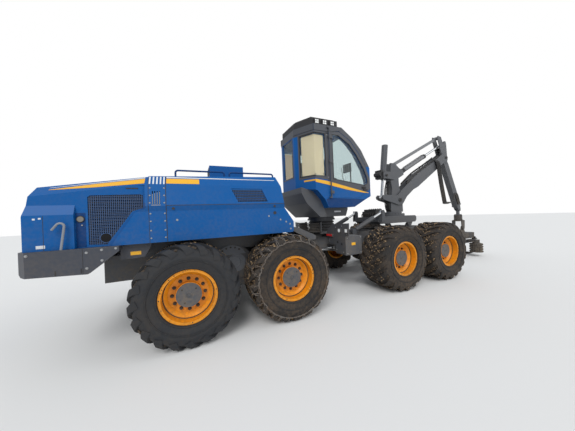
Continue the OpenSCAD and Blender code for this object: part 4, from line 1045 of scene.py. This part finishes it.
@dataclass
class Cab:
    """Dark frames, seals, blinds, lamps, stripes and controls of the cab, from its turning axis."""

    layout: Layout
    half: float = 0.780
    door: Tuple[Pair, ...] = (
        (-0.228, 2.330), (0.700, 2.118), (0.848, 2.182), (0.848, 2.420), (0.738, 2.690), (0.538, 2.990),
        (0.318, 3.238), (0.038, 3.398), (-0.228, 3.398))
    light: Tuple[Pair, ...] = (
        (-0.150, 2.390), (0.700, 2.270), (0.780, 2.330), (0.770, 2.430), (0.680, 2.640), (0.490, 2.930),
        (0.290, 3.160), (0.010, 3.320), (-0.150, 3.320))
    brow: Tuple[Pair, ...] = (
        (0.748, 2.690), (0.548, 2.996), (0.326, 3.247), (0.042, 3.407), (-0.236, 3.407))
    edge: Tuple[Pair, ...] = (
        (0.838, 2.700), (0.628, 3.058), (0.399, 3.298), (0.109, 3.497), (-0.236, 3.497))
    screen: Tuple[Pair, ...] = (
        (0.985, 2.150), (0.950, 2.440), (0.840, 2.700), (0.630, 3.060), (0.400, 3.300), (0.110, 3.500))
    screen_foot: float = 2.160
    belt: Tuple[Tuple[float, float, float], ...] = (
        (-0.600, 2.318, 2.378), (-0.330, 2.270, 2.345), (0.200, 2.165, 2.232), (0.650, 2.104, 2.134),
        (0.815, 2.096, 2.100))

    def patch(self, form: Form, outline: Line, sign: int, out: float = 0.0005,
              thick: float = 0.0025) -> None:
        """Lays a plate on the flat side of the cab.

        Args:
            form: the piece that gets it.
            outline: corners as place along the cab and height.
            sign: the side as the sign of y.
            out: gap to the cab's side.
            thick: thickness of the plate.
        """
        y = sign * (self.half + out)
        form.prism([self.layout.cab(x, y, z) for x, z in outline], (0, sign * thick, 0))

    def band(self, form: Form, inner: Line, outer: Line, sign: int) -> None:
        """Lays plates between two lines of the same number of corners."""
        for corners in zip(inner, inner[1:], outer[1:], outer):
            self.patch(form, corners, sign)

    def corner(self, form: Form, sign: int, share: Pair, z: Pair, depth: Pair = (0.0005, 0.003)) -> None:
        """Adds a plate on the slanting rear corner.

        Args:
            form: the piece that gets it.
            sign: the side as the sign of y.
            share: its ends between the rear edge, 0, and the side's edge, 1.
            z: its lower and upper height.
            depth: first and second face, outward from the corner's own face.
        """
        rear, front = Vector((-0.830, sign * 0.340, 0)), Vector((-0.600, sign * 0.780, 0))
        out = Vector((-0.440, sign * 0.230, 0)).normalized()
        ends = [rear.lerp(front, t) + out * depth[0] for t in share]
        outline = [self.layout.cab(*(ends[i].xy), z[k]) for i, k in ((0, 0), (1, 0), (1, 1), (0, 1))]
        form.prism(outline, out * (depth[1] - depth[0]))

    def frames(self) -> None:
        """Adds the dark frames round the door, the side windows and below the roof, and a darker blue plate
        low on each side as painted shade.
        """
        shell, door, deep = Form(), Form(), Form()
        at = self.layout.cab
        for sign in SIDES:
            panel = door if sign < 0 else shell
            self.band(panel, [*self.light, self.light[0]], [*self.door, self.door[0]], sign)
            self.band(shell, self.brow, self.edge, sign)
            self.patch(shell, ((-0.330, 2.372), (-0.240, 2.350), (-0.240, 3.342), (-0.330, 3.342)), sign)
            self.patch(shell, ((-0.598, 2.400), (-0.332, 2.372), (-0.332, 2.440), (-0.598, 2.440)), sign)
            self.patch(shell, ((-0.598, 3.330), (-0.240, 3.330), (-0.240, 3.497), (-0.598, 3.497)), sign)
            self.patch(shell, ((-0.598, 3.372), (-0.236, 3.372), (0.060, 3.420), (0.100, 3.497),
                               (-0.598, 3.497)), sign, 0.003, 0.010)
            self.corner(shell, sign, (0.0, 1.0), (3.330, 3.497))
            self.corner(shell, sign, (0.0, 1.0), (3.372, 3.497), (0.003, 0.013))
            self.corner(shell, sign, (0.26, 1.0), (2.402, 2.440))
            self.corner(shell, sign, (0.20, 0.262), (2.402, 3.330))
            # Painted shade: a darker blue plate over the lower side of the cab.
            self.patch(deep, ((-0.356, 1.958), (-0.300, 1.985), (0.700, 1.960), (0.664, 1.936),
                              (0.380, 1.792), (-0.296, 1.792)), sign)
            for (x0, z0), (x1, z1) in zip(self.screen, self.screen[1:]):
                out = Vector((z1 - z0, 0, x0 - x1)).normalized()
                low = max(z0, self.screen_foot)
                outline = [Vector(at(x, sign * y, z)) + out * 0.0005 for x, y, z in (
                    (x0, 0.522, low), (x0, 0.556, low), (x1, 0.556, z1), (x1, 0.522, z1))]
                shell.prism(outline, out * 0.003)
        for y, z in (((-0.338, 0.338), (3.345, 3.497)), ((-0.272, -0.252), (2.470, 3.345)),
                     ((0.252, 0.272), (2.470, 3.345)), ((-0.272, 0.272), (2.470, 2.498))):
            shell.box(at(-0.833, y[0], z[0]), at(-0.8305, y[1], z[1]))
        shell.done("cab_frames", "cab", CAB_GREY, soft=False)
        door.done("door_frame", "cab_door", CAB_GREY, soft=False)
        deep.done("cab_lower_shade_panels", "cab", DARK_BLUE_AND_SHADE, soft=False, slot=Slot.CAB)

    def seals(self) -> None:
        """Adds the black rubber seals along the glass."""
        shell, door = Form(), Form()
        at = self.layout.cab
        rear = ((-0.598, 2.444), (-0.334, 2.444), (-0.334, 3.326), (-0.598, 3.326))
        for sign in SIDES:
            panel = door if sign < 0 else shell
            for form, line, gap, radius in ((panel, [*self.light, self.light[0]], 0.001, 0.009),
                                            (shell, rear, -0.004, 0.010)):
                y = sign * (self.half + gap)
                for (x0, z0), (x1, z1) in zip(line, line[1:]):
                    form.rod(at(x0, y, z0), at(x1, y, z1), radius, 8)
            for share, z in (((0.262, 1.0), (2.442, 2.466)), ((0.262, 1.0), (3.306, 3.330)),
                             ((0.262, 0.30), (2.442, 3.330))):
                self.corner(shell, sign, share, z, (-0.016, 0.002))
        shell.done("cab_seals", "cab", TRIM)
        door.done("door_seal", "cab_door", TRIM)

    def blinds(self) -> None:
        """Adds the folded beige blinds behind the rear side windows, lit by a painted glow."""
        cloth, rods = Form(), Form()
        at = self.layout.cab
        for sign in SIDES:
            y = sign * (self.half - 0.040)
            cloth.prism([at(x, y, z) for x, z in (
                (-0.580, 2.470), (-0.358, 2.462), (-0.358, 3.290), (-0.580, 3.300))], (0, -sign * 0.003, 0))
            self.corner(cloth, sign, (0.33, 0.955), (2.475, 3.298), (-0.040, -0.037))
            for x in (-0.562, -0.374):
                rods.rod(at(x, y + sign * 0.001, 2.490), at(x, y + sign * 0.004, 2.490), 0.010, 14)
        cloth.done("window_blinds", "cab", BLIND_WITH_PAINTED_GLOW, soft=False)
        rods.done("blind_buttons", "cab", TRIM)

    def lamps(self) -> None:
        """Adds the lenses and grids of the roof's work lamps."""
        glass, grid = Form(), Form()
        lens = (-0.040, 0.040, -0.040, 0.040)
        bars = ((-0.004, 0.004, -0.04, 0.04), (-0.04, 0.04, -0.004, 0.004), (-0.047, -0.040, -0.047, 0.047),
                (0.040, 0.047, -0.047, 0.047), (-0.04, 0.04, -0.047, -0.04), (-0.04, 0.04, 0.04, 0.047))
        spots = [(x, sign * 0.7464, 0, sign) for x in (-0.485, -0.295, -0.105) for sign in SIDES]
        spots += [(0.1464, y, 1, 0) for y in (-0.410, -0.190, 0.190, 0.410)]
        for x, y, nx, ny in spots:
            spot = Vector(self.layout.cab(x, y, 3.575))
            out, along, up = Vector((nx, ny, 0)), Vector((-ny, nx, 0)), Vector((0, 0, 1))
            for form, thick, areas in ((glass, 0.002, (lens,)), (grid, 0.005, bars)):
                for u0, u1, v0, v1 in areas:
                    corners = ((u0, v0), (u1, v0), (u1, v1), (u0, v1))
                    form.prism([spot + along * u + up * v for u, v in corners], out * thick)
        glass.done("roof_lamp_lenses", "cab", LENS, soft=False)
        grid.done("roof_lamp_grids", "cab", TRIM, soft=False)

    def stripe(self) -> None:
        """Adds the yellow stripe below the side windows, on the shell and on the door."""
        for sign, side in zip(SIDES, "rl"):
            shell = Form()
            door = Form() if sign < 0 else shell
            for (x0, low0, high0), (x1, low1, high1) in zip(self.belt, self.belt[1:]):
                for a, b, form in ((x0, min(x1, -0.240), shell), (max(x0, -0.226), x1, door)):
                    if b <= a:
                        continue
                    p, q = (a - x0) / (x1 - x0), (b - x0) / (x1 - x0)
                    self.patch(form, ((a, low0 + (low1 - low0) * p), (b, low0 + (low1 - low0) * q),
                                      (b, high0 + (high1 - high0) * q), (a, high0 + (high1 - high0) * p)),
                               sign, 0.003, 0.0012)
            self.corner(shell, sign, (0.45, 1.0), (2.345, 2.375), (0.0005, 0.0015))
            shell.done(f"cab_stripe_{side}", "cab", YELLOW, soft=False)
            if door is not shell:
                door.done("door_stripe", "cab_door", YELLOW, soft=False)

    def controls(self) -> None:
        """Adds the joysticks, screen, pedals and consoles that show through the glass."""
        dark, grey = Form(), Form()
        at = self.layout.cab
        for sign in SIDES:
            y = sign * 0.315
            dark.box(at(0.02, y - 0.055, 2.4415), at(0.24, y + 0.055, 2.490))
            dark.rod(at(0.17, y, 2.485), at(0.18, y, 2.560), 0.016, 14, 0.020)
            dark.rod(at(0.18, y, 2.560), at(0.175, y, 2.625), 0.026, 14, 0.022)
            for x in (0.05, 0.08, 0.11):
                for w in (y - 0.025, y + 0.025):
                    grey.rod(at(x, w, 2.489), at(x, w, 2.495), 0.008, 10)
            dark.box(at(0.50, sign * 0.10 - 0.055, 1.846), at(0.62, sign * 0.10 + 0.055, 1.905))
        dark.rod(at(0.46, -0.60, 2.10), at(0.46, -0.60, 2.62), 0.014, 12)
        dark.box(at(0.40, -0.665, 2.60), at(0.435, -0.415, 2.79))
        grey.box(at(0.3975, -0.650, 2.615), at(0.3995, -0.430, 2.775))
        dark.rod(at(-0.30, 0.0, 2.93), at(-0.33, 0.0, 3.02), 0.030, 12)
        dark.box(at(-0.385, -0.13, 3.00), at(-0.305, 0.13, 3.16))
        dark.done("cab_controls", "cab", TRIM)
        grey.done("cab_buttons", "cab", CAB_GREY, slot=Slot.STEEL)

    def outside(self) -> None:
        """Adds the door handle, the wiper, the small bolts and the tray's label."""
        handle, dark, bolts, label = Form(), Form(), Form(), Form()
        at = self.layout.cab
        handle.box(at(0.600, -0.7920, 2.190), at(0.720, -0.7835, 2.240))
        handle.rod(at(0.610, -0.800, 2.215), at(0.700, -0.800, 2.215), 0.009, 10)
        dark.tube([at(0.985, 0.10, 2.235), at(0.980, 0.16, 2.40), at(0.915, 0.22, 2.58)], 0.008, 8)
        dark.rod(at(0.915, 0.22, 2.58), at(0.770, 0.10, 2.86), 0.007, 8)
        dark.rod(at(0.960, 0.10, 2.235), at(0.998, 0.10, 2.235), 0.022, 16)
        dark.box(at(0.640, -0.800, 2.155), at(0.760, -0.7835, 2.180))
        for sign in SIDES:
            for x, z in ((-0.285, 3.30), (-0.285, 2.42), (-0.55, 3.44), (-0.40, 3.44), (-0.10, 3.455)):
                bolts.bolt(at(x, sign * 0.783, z), (0, sign, 0), 0.007, 0.006)
        label.box(at(0.02, -0.5225, 1.690), at(0.20, -0.5205, 1.722))
        handle.done("door_handle", "cab_door", TRIM)
        dark.done("cab_wiper", "cab", TRIM)
        bolts.done("cab_bolts", "cab", ZINC)
        label.done("cab_tray_label", "cab", WHITE, soft=False)

    def build(self) -> None:
        """Builds all of the cab's small pieces."""
        for step in (self.frames, self.seals, self.blinds, self.lamps, self.stripe, self.controls,
                     self.outside):
            step()


@dataclass
class Frames:
    """Lenses, stickers, hoses and bolts of the two frames."""

    layout: Layout

    def boxes(self) -> None:
        """Adds the lenses, stickers and bolts of the boxes beside the front frame."""
        glass, red, yellow, bolts, dark = Form(), Form(), Form(), Form(), Form()
        at = self.layout.at
        for sign in SIDES:
            glass.rod(at(2.0692, sign * 0.890, 1.310), at(2.0660, sign * 0.890, 1.310), 0.037, 28)
            dark.ring(at(2.0690, sign * 0.890, 1.310), (1, 0, 0), 0.041, 0.005, 28, 8)
            for form, x, y, z in ((glass, (2.0705, 2.0733), (1.068, 1.132), (1.278, 1.342)),
                                  (red, (2.0600, 2.0633), (0.448, 0.652), (1.176, 1.219)),
                                  (yellow, (2.245, 2.345), (1.0503, 1.0513), (1.005, 1.060))):
                y0, y1 = sorted((sign * y[0], sign * y[1]))
                form.box(at(x[0], y0, z[0]), at(x[1], y1, z[1]))
            for x, z in ((2.14, 1.160), (2.48, 1.160), (2.14, 0.850), (2.48, 0.850)):
                bolts.bolt(at(x, sign * 1.050, z), (0, sign, 0), 0.008, 0.006)
            for y, z in ((0.52, 1.06), (0.52, 1.10), (0.75, 1.37), (0.95, 1.40), (1.10, 1.24), (0.76, 0.90),
                         (0.98, 0.87)):
                bolts.bolt(at(2.0935, sign * y, z), (-1, 0, 0), 0.010, 0.008)
            for y, z in ((0.80, 1.06), (0.93, 1.03)):
                dark.rod(at(2.0938, sign * y, z), at(2.0915, sign * y, z), 0.026, 20)
        glass.done("frame_lamp_lenses", "front_frame", LENS)
        red.done("red_lamp_lenses", "front_frame", RED, soft=False)
        yellow.done("box_stickers", "front_frame", YELLOW, soft=False)
        bolts.done("box_bolts", "front_frame", ZINC)
        dark.done("box_holes", "front_frame", TRIM)

    def hoses(self) -> None:
        """Adds the stacked hose loops behind the cab's pedestal and the bellows round it."""
        loops, bellows, clamps = Form(), Form(), Form()
        at = self.layout.at
        for k in range(6):
            reach = 1.700 + 0.012 * (k % 2)
            line = ((2.00, -0.330), (1.86, -0.330), (1.74, -0.230), (reach, 0.0), (1.74, 0.230),
                    (1.86, 0.330), (2.00, 0.330))
            loops.tube([at(x, y, 1.272 + 0.036 * k) for x, y in line], 0.015, 10, 5)
        for k in range(4):
            bellows.ring(at(2.230, 0, 1.300 + 0.058 * k), (0, 0, 1), 0.288, 0.020, 44, 8)
        for y in (-0.33, 0.33):
            clamps.box(at(1.975, y - 0.030, 1.250), at(2.005, y + 0.030, 1.480))
        loops.done("frame_hoses", "front_frame", HOSE)
        bellows.done("pedestal_bellows", "front_frame", TRIM)
        clamps.done("hose_clamps", "front_frame", FRAME)

    def bogies(self) -> None:
        """Adds the bolts and caps of the bogie gear cases, which ride on their frames."""
        at = self.layout.at
        for name, x in (("rear", 0.0), ("front", 4.042)):
            bolts, caps = Form(), Form()
            for sign in SIDES:
                out = Vector((0, sign, 0))
                middle = Vector(at(x - 0.09, sign * 0.7735, 0.93))
                line = [middle + upright(math.radians(a)) * 0.27 for a in range(25, 156, 10)]
                caps.prism(line, out * 0.004)
                for a in (56, 74, 92, 110, 128):
                    spot = middle + upright(math.radians(a)) * 0.235 + out * 0.003
                    bolts.rod(spot, spot + out * 0.002, 0.016, 14)
                hub = Vector(at(x - 0.05, sign * 0.776, 0.915))
                caps.ring(hub, out, 0.105, 0.008, 40, 8)
                caps.rod(hub, hub + out * 0.008, 0.050, 24)
                caps.rod(at(x, sign * 0.772, 0.900), at(x, sign * 0.777, 0.900), 0.150, 36)
                for reach, z in ((0.80, 0.62), (0.80, 0.70), (0.55, 0.93), (0.40, 0.57)):
                    for spot_x in (x - reach, x + reach):
                        bolts.bolt(at(spot_x, sign * 0.760, z), out, 0.012, 0.010)
            bolts.done(f"{name}_bogie_bolts", f"{name}_frame", GRIMY)
            caps.done(f"{name}_bogie_caps", f"{name}_frame", COVER)

    def deck(self) -> None:
        """Adds the grip rows of the step and the hydraulic couplings of the rear frame."""
        grip, dark = Form(), Form()
        at = self.layout.at
        for sign in SIDES:
            for i in range(9):
                for x in (1.235, 1.285, 1.335):
                    y = sign * (0.695 + 0.046 * i)
                    grip.rod(at(x, y, 1.259), at(x, y, 1.265), 0.012, 10)
            for z in (1.05, 1.12):
                dark.rod(at(1.560, sign * 0.22, z), at(1.600, sign * 0.22, z), 0.022, 14)
        grip.done("step_grips", "rear_frame", GRIMY)
        dark.done("hose_couplings", "rear_frame", ZINC)

    def build(self) -> None:
        """Builds the small pieces of both frames."""
        for step in (self.boxes, self.hoses, self.bogies, self.deck):
            step()


@dataclass
class Crane:
    """Hoses, caps, guards and plates of the crane, from the boom's foot pin."""

    layout: Layout
    tip: Pair = (2.301, 1.399)
    fall: float = math.radians(66)
    jib_foot: Pair = (0.180, 0.820)
    jib_eye: Pair = (2.381, 1.920)

    def outer(self, along: float, y: float, up: float) -> Point:
        """Returns a point beside the outer boom.

        Args:
            along: distance from the elbow pin along the boom.
            y: place across it.
            up: distance from its middle line, toward the front.
        """
        c, s = math.cos(self.fall), math.sin(self.fall)
        return self.layout.crane(self.tip[0] + along * c + up * s, y, self.tip[1] - along * s + up * c)

    def base(self) -> None:
        """Adds the slewing ring's bolts, the valve block and its hoses to the tilting base."""
        bolts, block, hoses = Form(), Form(), Form()
        axis = self.layout.crane_x
        for k in range(24):
            spot = Vector((axis, 0, 1.580)) + level(FULL_TURN * k / 24) * 0.325
            bolts.bolt(spot, (0, 0, 1), 0.011, 0.010)
        block.box((axis - 0.860, -0.240, 1.5203), (axis - 0.520, 0.240, 1.680))
        for k in range(6):
            y = -0.19 + 0.076 * k
            block.box((axis - 0.820, y - 0.026, 1.679), (axis - 0.600, y + 0.026, 1.735))
            block.rod((axis - 0.640, y, 1.734), (axis - 0.640, y, 1.752), 0.014, 12)
            line = ((0.855, 1.62), (0.905, 1.62), (0.930, 1.57), (0.925, 1.50))
            hoses.tube([(axis - x, y, z) for x, z in line], 0.012, 8, 5)
        bolts.done("slew_ring_bolts", "crane_base", GRIMY)
        block.done("valve_block", "crane_base", TRIM)
        hoses.done("valve_hoses", "crane_base", HOSE)

    def pillar(self) -> None:
        """Adds the guard, the hoses and the pin caps of the pillar."""
        guard, hoses, caps = Form(), Form(), Form()
        at = self.layout.crane
        guard.box(at(-0.700, -0.105, 0.610), at(-0.606, 0.105, 0.850))
        guard.rod(at(-0.700, -0.105, 0.730), at(-0.700, 0.105, 0.730), 0.060, 20)
        guard.box(at(-0.640, -0.118, 0.600), at(-0.600, 0.118, 0.800))
        for y in (-0.066, -0.022, 0.022, 0.066):
            line = ((-0.330, -0.330), (-0.385, -0.200), (-0.400, 0.050), (-0.385, 0.300), (-0.310, 0.540))
            hoses.tube([at(x, y, z) for x, z in line], 0.015, 8, 5)
        for sign in SIDES:
            caps.rod(at(0, sign * 0.1445, 0), at(0, sign * 0.150, 0), 0.052, 28)
            caps.bolt(at(0, sign * 0.150, 0), (0, sign, 0), 0.013, 0.010)
            caps.rod(at(-0.510, sign * 0.1495, 0.700), at(-0.510, sign * 0.154, 0.700), 0.030, 20)
        guard.done("hose_guard", "crane_pillar", TRIM)
        hoses.done("pillar_hoses", "crane_pillar", HOSE)
        caps.done("pillar_pin_caps", "crane_pillar", GRIMY)

    def boom(self) -> None:
        """Adds the hoses, their clamps and the pin caps of the main boom."""
        hoses, clamps, caps, bundle = Form(), Form(), Form(), Form()
        at = self.layout.crane
        top = ((0.340, 0.470), (0.820, 0.806), (1.250, 1.030), (1.640, 1.231), (1.930, 1.390))
        for sign in SIDES:
            for rise in (0.016, 0.045):
                hoses.tube([at(x, sign * 0.100, z + rise) for x, z in top], 0.0135, 8, 5)
            y0, y1 = sorted((sign * 0.084, sign * 0.116))
            for x, z in top[1:4]:
                clamps.box(at(x - 0.020, y0, z - 0.004), at(x + 0.020, y1, z + 0.008))
                clamps.box(at(x - 0.014, y0, z + 0.058), at(x + 0.014, y1, z + 0.064))
            pin = Vector(at(self.tip[0], sign * 0.144, self.tip[1]))
            caps.rod(at(self.tip[0], sign * 0.1385, self.tip[1]), pin, 0.040, 28)
            caps.bolt(pin, (0, sign, 0), 0.012, 0.010)
        for k in range(5):
            x, y = 0.036 * k - 0.072, -0.172 - 0.018 * (k % 2)
            bundle.tube([at(1.74 + x, -0.130, 1.270), at(1.79 + x, y, 1.150), at(1.85 + x, y, 0.800),
                         at(1.92 + x, y, 0.420), at(2.05 + x, y, -0.150)], 0.023, 10, 6)
        hoses.done("boom_hoses", "main_boom", HOSE)
        clamps.done("boom_hose_clamps", "main_boom", FRAME, soft=False)
        bundle.done("boom_hose_bundle", "main_boom", HOSE)
        caps.done("boom_pin_caps", "main_boom", GRIMY)

    def jib(self) -> None:
        """Adds the collars and the pipe of the jib cylinder."""
        collar = Form()
        (x0, z0), (x1, z1) = self.jib_foot, self.jib_eye
        rise = math.atan2(z1 - z0, x1 - x0)
        way, up = upright(rise), upright(rise + math.pi / 2)
        foot = Vector(self.layout.crane(x0, 0, z0))
        for a, b, r in ((0.130, 0.200, 0.071), (1.235, 1.305, 0.072)):
            collar.rod(foot + way * a, foot + way * b, r, 32)
        collar.tube([foot + way * a + up * b for a, b in ((0.22, 0.078), (0.60, 0.080), (1.22, 0.080))],
                    0.009, 8, 4)
        collar.done("jib_collars", "jib_barrel", TRIM)

    def outer_boom(self) -> None:
        """Adds the hoses, clamps and wear pads of the outer boom."""
        hoses, clamps = Form(), Form()
        for k in range(5):
            y = -0.160 - 0.016 * (k % 2)
            line = ((1.31, y, -0.86 + 0.03 * k), (1.40, y, -0.62 + 0.02 * k), (1.40, y, -0.36),
                    (1.30, -0.130, -0.17), (1.34, -0.105, -0.07 + 0.03 * k), (1.70, -0.098, -0.06 + 0.03 * k))
            hoses.tube([self.outer(*p) for p in line], 0.014, 8, 5)
        for low in (1.12, 1.40, 1.68):
            high = low + 0.03
            clamps.prism([self.outer(a, -0.0805, u) for a, u in (
                (low, -0.085), (high, -0.085), (high, 0.085), (low, 0.085))], (0, -0.004, 0))
        collar = [self.outer(a, -0.088, u) for a, u in (
            (1.735, -0.118), (1.778, -0.118), (1.778, 0.118), (1.735, 0.118))]
        clamps.prism(collar, (0, 0.0075, 0))
        clamps.prism([(x, -y, z) for x, y, z in collar], (0, -0.0075, 0))
        hoses.done("outer_boom_hoses", "outer_boom", HOSE)
        clamps.done("outer_boom_clamps", "outer_boom", FRAME, soft=False)

    def build(self) -> None:
        """Builds the crane's small pieces."""
        for step in (self.base, self.pillar, self.boom, self.jib, self.outer_boom):
            step()


@dataclass
class Head:
    """Spikes, chain, hoses and bolts of the harvester head, from its tilt axis."""

    x: float = field(init=False)
    z: float = field(init=False)
    bar: Pair = (-0.820, -0.330)

    def __post_init__(self) -> None:
        """Finds the head's tilt axis from the yoke's and the frame's boxes."""
        self.x = Layout.middle("rotator_yoke").x
        self.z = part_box("head_frame")[1].z - 0.050

    def at(self, x: float, y: float, z: float) -> Point:
        """Returns a point given from the tilt axis."""
        return (self.x + x, y, self.z + z)

    def rollers(self) -> None:
        """Adds the spikes of the feed rollers."""
        for name, y in (("left", 0.400), ("right", -0.400)):
            spikes = Form()
            for z in (-0.814, -0.734, -0.654, -0.574):
                for i in range(18):
                    out = level(math.radians(20 * i + 5))
                    base = Vector(self.at(0.210, y, z)) + out * 0.178
                    spikes.rod(base, base + out * 0.012, 0.009, 6, 0.004)
            spikes.done(f"roller_spikes_{name}", f"feed_arm_{name}", GRIMY, slot=Slot.HEAD)

    def saw(self) -> None:
        """Adds the cutting chain round the saw bar."""
        chain = Form()
        x, middle = self.bar
        for k in range(34):
            y = 0.20 - 0.019 * k
            for z in (middle - 0.062, middle + 0.062):
                chain.box(self.at(x - 0.006, y - 0.007, z - 0.005), self.at(x + 0.006, y + 0.007, z + 0.005))
        for k in range(6):
            z = middle - 0.052 + 0.021 * k
            chain.box(self.at(x - 0.006, -0.447, z - 0.007), self.at(x + 0.006, -0.439, z + 0.007))
        chain.done("saw_chain", "saw_bar", CHAIN, soft=False)

    def frame_parts(self) -> None:
        """Adds the cover, hoses and bolts of the head's frame and of the rotator."""
        cover, bolts, hoses, ring = Form(), Form(), Form(), Form()
        cover.box(self.at(-0.520, -0.130, -0.200), self.at(-0.190, 0.130, -0.150))
        for x in (-0.49, -0.22):
            for y in (-0.10, 0.10):
                bolts.bolt(self.at(x, y, -0.150), (0, 0, 1), 0.009, 0.008)
        for k in range(4):
            y = -0.075 + 0.05 * k
            line = ((-0.24 - 0.05 * k, -0.152), (-0.24 - 0.05 * k, -0.090), (-0.32 - 0.04 * k, -0.065),
                    (-0.44 - 0.02 * k, -0.100), (-0.50, -0.152))
            hoses.tube([self.at(x, y, z) for x, z in line], 0.013, 8, 5)
        for sign in SIDES:
            for z in (-0.25, -0.33):
                for x in (-0.5, -0.25, 0.05, 0.30, 0.55):
                    bolts.bolt(self.at(x, sign * 0.170, z), (0, sign, 0), 0.010, 0.008)
        for k in range(10):
            spot = Vector(self.at(0, 0, 0.2615)) + level(FULL_TURN * k / 10) * 0.142
            ring.bolt(spot, (0, 0, 1), 0.009, 0.008)
        cover.done("head_covers", "head_frame", FRAME)
        bolts.done("head_bolts", "head_frame", GRIMY)
        hoses.done("head_hoses", "head_frame", HOSE)
        ring.done("rotator_bolts", "rotator", GRIMY)

    def build(self) -> None:
        """Builds the head's small pieces."""
        for step in (self.rollers, self.saw, self.frame_parts):
            step()


@dataclass
class Studio:
    """Floor, light and camera."""

    layout: Layout
    eye: Point = (-0.6949, -4.4835, 1.6534)
    yaw: float = 1.14677
    pitch: float = 0.00211
    roll: float = -0.04370
    focal_px: float = 214.94
    width_px: float = 575.0
    sensor: float = 36.0
    floor_half: float = 60.0
    sky: Colour = (0.93, 0.96, 1.0)
    sky_power: float = 0.62

    def floor(self) -> None:
        """Lays a plain pale floor."""
        data = bpy.data.meshes.new("floor")
        s = self.floor_half
        data.from_pydata([(-s, -s, 0), (s, -s, 0), (s, s, 0), (-s, s, 0)], [], [(0, 1, 2, 3)])
        made = bpy.data.objects.new("floor", data)
        bpy.context.scene.collection.objects.link(made)
        material = bpy.data.materials.new("pale floor")
        material.use_nodes = True
        shader = material.node_tree.nodes["Principled BSDF"]
        shader.inputs["Base Color"].default_value = (0.80, 0.80, 0.79, 1)
        shader.inputs["Roughness"].default_value = 0.95
        data.materials.append(material)

    def world(self) -> None:
        """Sets a soft sky whose background is white to the camera and through glass."""
        world = bpy.data.worlds.new("studio")
        bpy.context.scene.world = world
        world.use_nodes = True
        tree = world.node_tree
        tree.nodes.clear()
        grounds = []
        for colour, power in ((self.sky, self.sky_power), ((1.0, 1.0, 1.0), 1.0)):
            ground = tree.nodes.new("ShaderNodeBackground")
            ground.inputs["Color"].default_value = (*colour, 1)
            ground.inputs["Strength"].default_value = power
            grounds.append(ground)
        path = tree.nodes.new("ShaderNodeLightPath")
        first = tree.nodes.new("ShaderNodeMath")
        first.operation = "MAXIMUM"
        tree.links.new(path.outputs["Is Camera Ray"], first.inputs[0])
        tree.links.new(path.outputs["Is Transmission Ray"], first.inputs[1])
        mix = tree.nodes.new("ShaderNodeMixShader")
        tree.links.new(first.outputs["Value"], mix.inputs["Fac"])
        for i, ground in enumerate(grounds, 1):
            tree.links.new(ground.outputs["Background"], mix.inputs[i])
        out = tree.nodes.new("ShaderNodeOutputWorld")
        tree.links.new(mix.outputs["Shader"], out.inputs["Surface"])

    def lamps(self) -> None:
        """Adds a soft key light and a weaker fill."""
        for name, place, power, spread in (("key", (-6, -9, 11), 1.5, 0.5), ("fill", (9, -7, 6), 0.5, 0.8)):
            data = bpy.data.lights.new(name, "SUN")
            data.energy = power
            data.angle = spread
            made = bpy.data.objects.new(name, data)
            made.location = place
            made.rotation_mode = "QUATERNION"
            made.rotation_quaternion = (-Vector(place)).to_track_quat("-Z", "Y")
            bpy.context.scene.collection.objects.link(made)

    def camera(self) -> None:
        """Puts the camera where the photograph was taken from."""
        ahead = level(self.yaw) * math.cos(self.pitch) + Vector((0, 0, math.sin(self.pitch)))
        flat = level(self.yaw - math.pi / 2)
        high = flat.cross(ahead)
        c, s = math.cos(self.roll), math.sin(self.roll)
        turn = Matrix((flat * c + high * s, high * c - flat * s, -ahead)).transposed().to_4x4()
        data = bpy.data.cameras.new("camera")
        data.sensor_width = self.sensor
        data.lens = self.focal_px / self.width_px * self.sensor
        data.clip_start = 0.05
        data.clip_end = 400.0
        made = bpy.data.objects.new("camera", data)
        made.matrix_world = Matrix.Translation(Vector(self.layout.at(*self.eye))) @ turn
        bpy.context.scene.collection.objects.link(made)
        bpy.context.scene.camera = made

    def build(self) -> None:
        """Builds the stage."""
        for step in (self.floor, self.world, self.lamps, self.camera):
            step()
        bpy.context.scene.view_settings.view_transform = "Standard"


def paint_solids() -> None:
    """Gives each solid of the frame the finish of its slot, or its own finish."""
    slots = {row["node"]: row["material_slot"] for row in frame["record"]["subparts"]}
    own = {f"tyre_{name}": MUDDY for name in Wheels.muddy}
    own["rear_platform"] = SLATE
    for name, solid in frame["nodes"].items():
        solid.data.materials.clear()
        solid.data.materials.append(Paintbox.get(own.get(name, BASE[Slot(slots[name])])))
        if name in ("cab_shell", "cab_door"):
            solid.data.materials.append(Paintbox.get(CAB_GREY))
            for face in solid.data.polygons:
                face.material_index = int((solid.matrix_world @ face.center).y < -0.7815)


def main() -> None:
    """Builds the stage, the finishes and every sub-assembly in order."""
    random.seed(7)
    layout = Layout()
    Studio(layout).build()
    paint_solids()
    Wheels().build()
    for part in (Body, Cab, Frames, Crane):
        part(layout).build()
    Head().build()


if __name__ == "__main__":
    main()
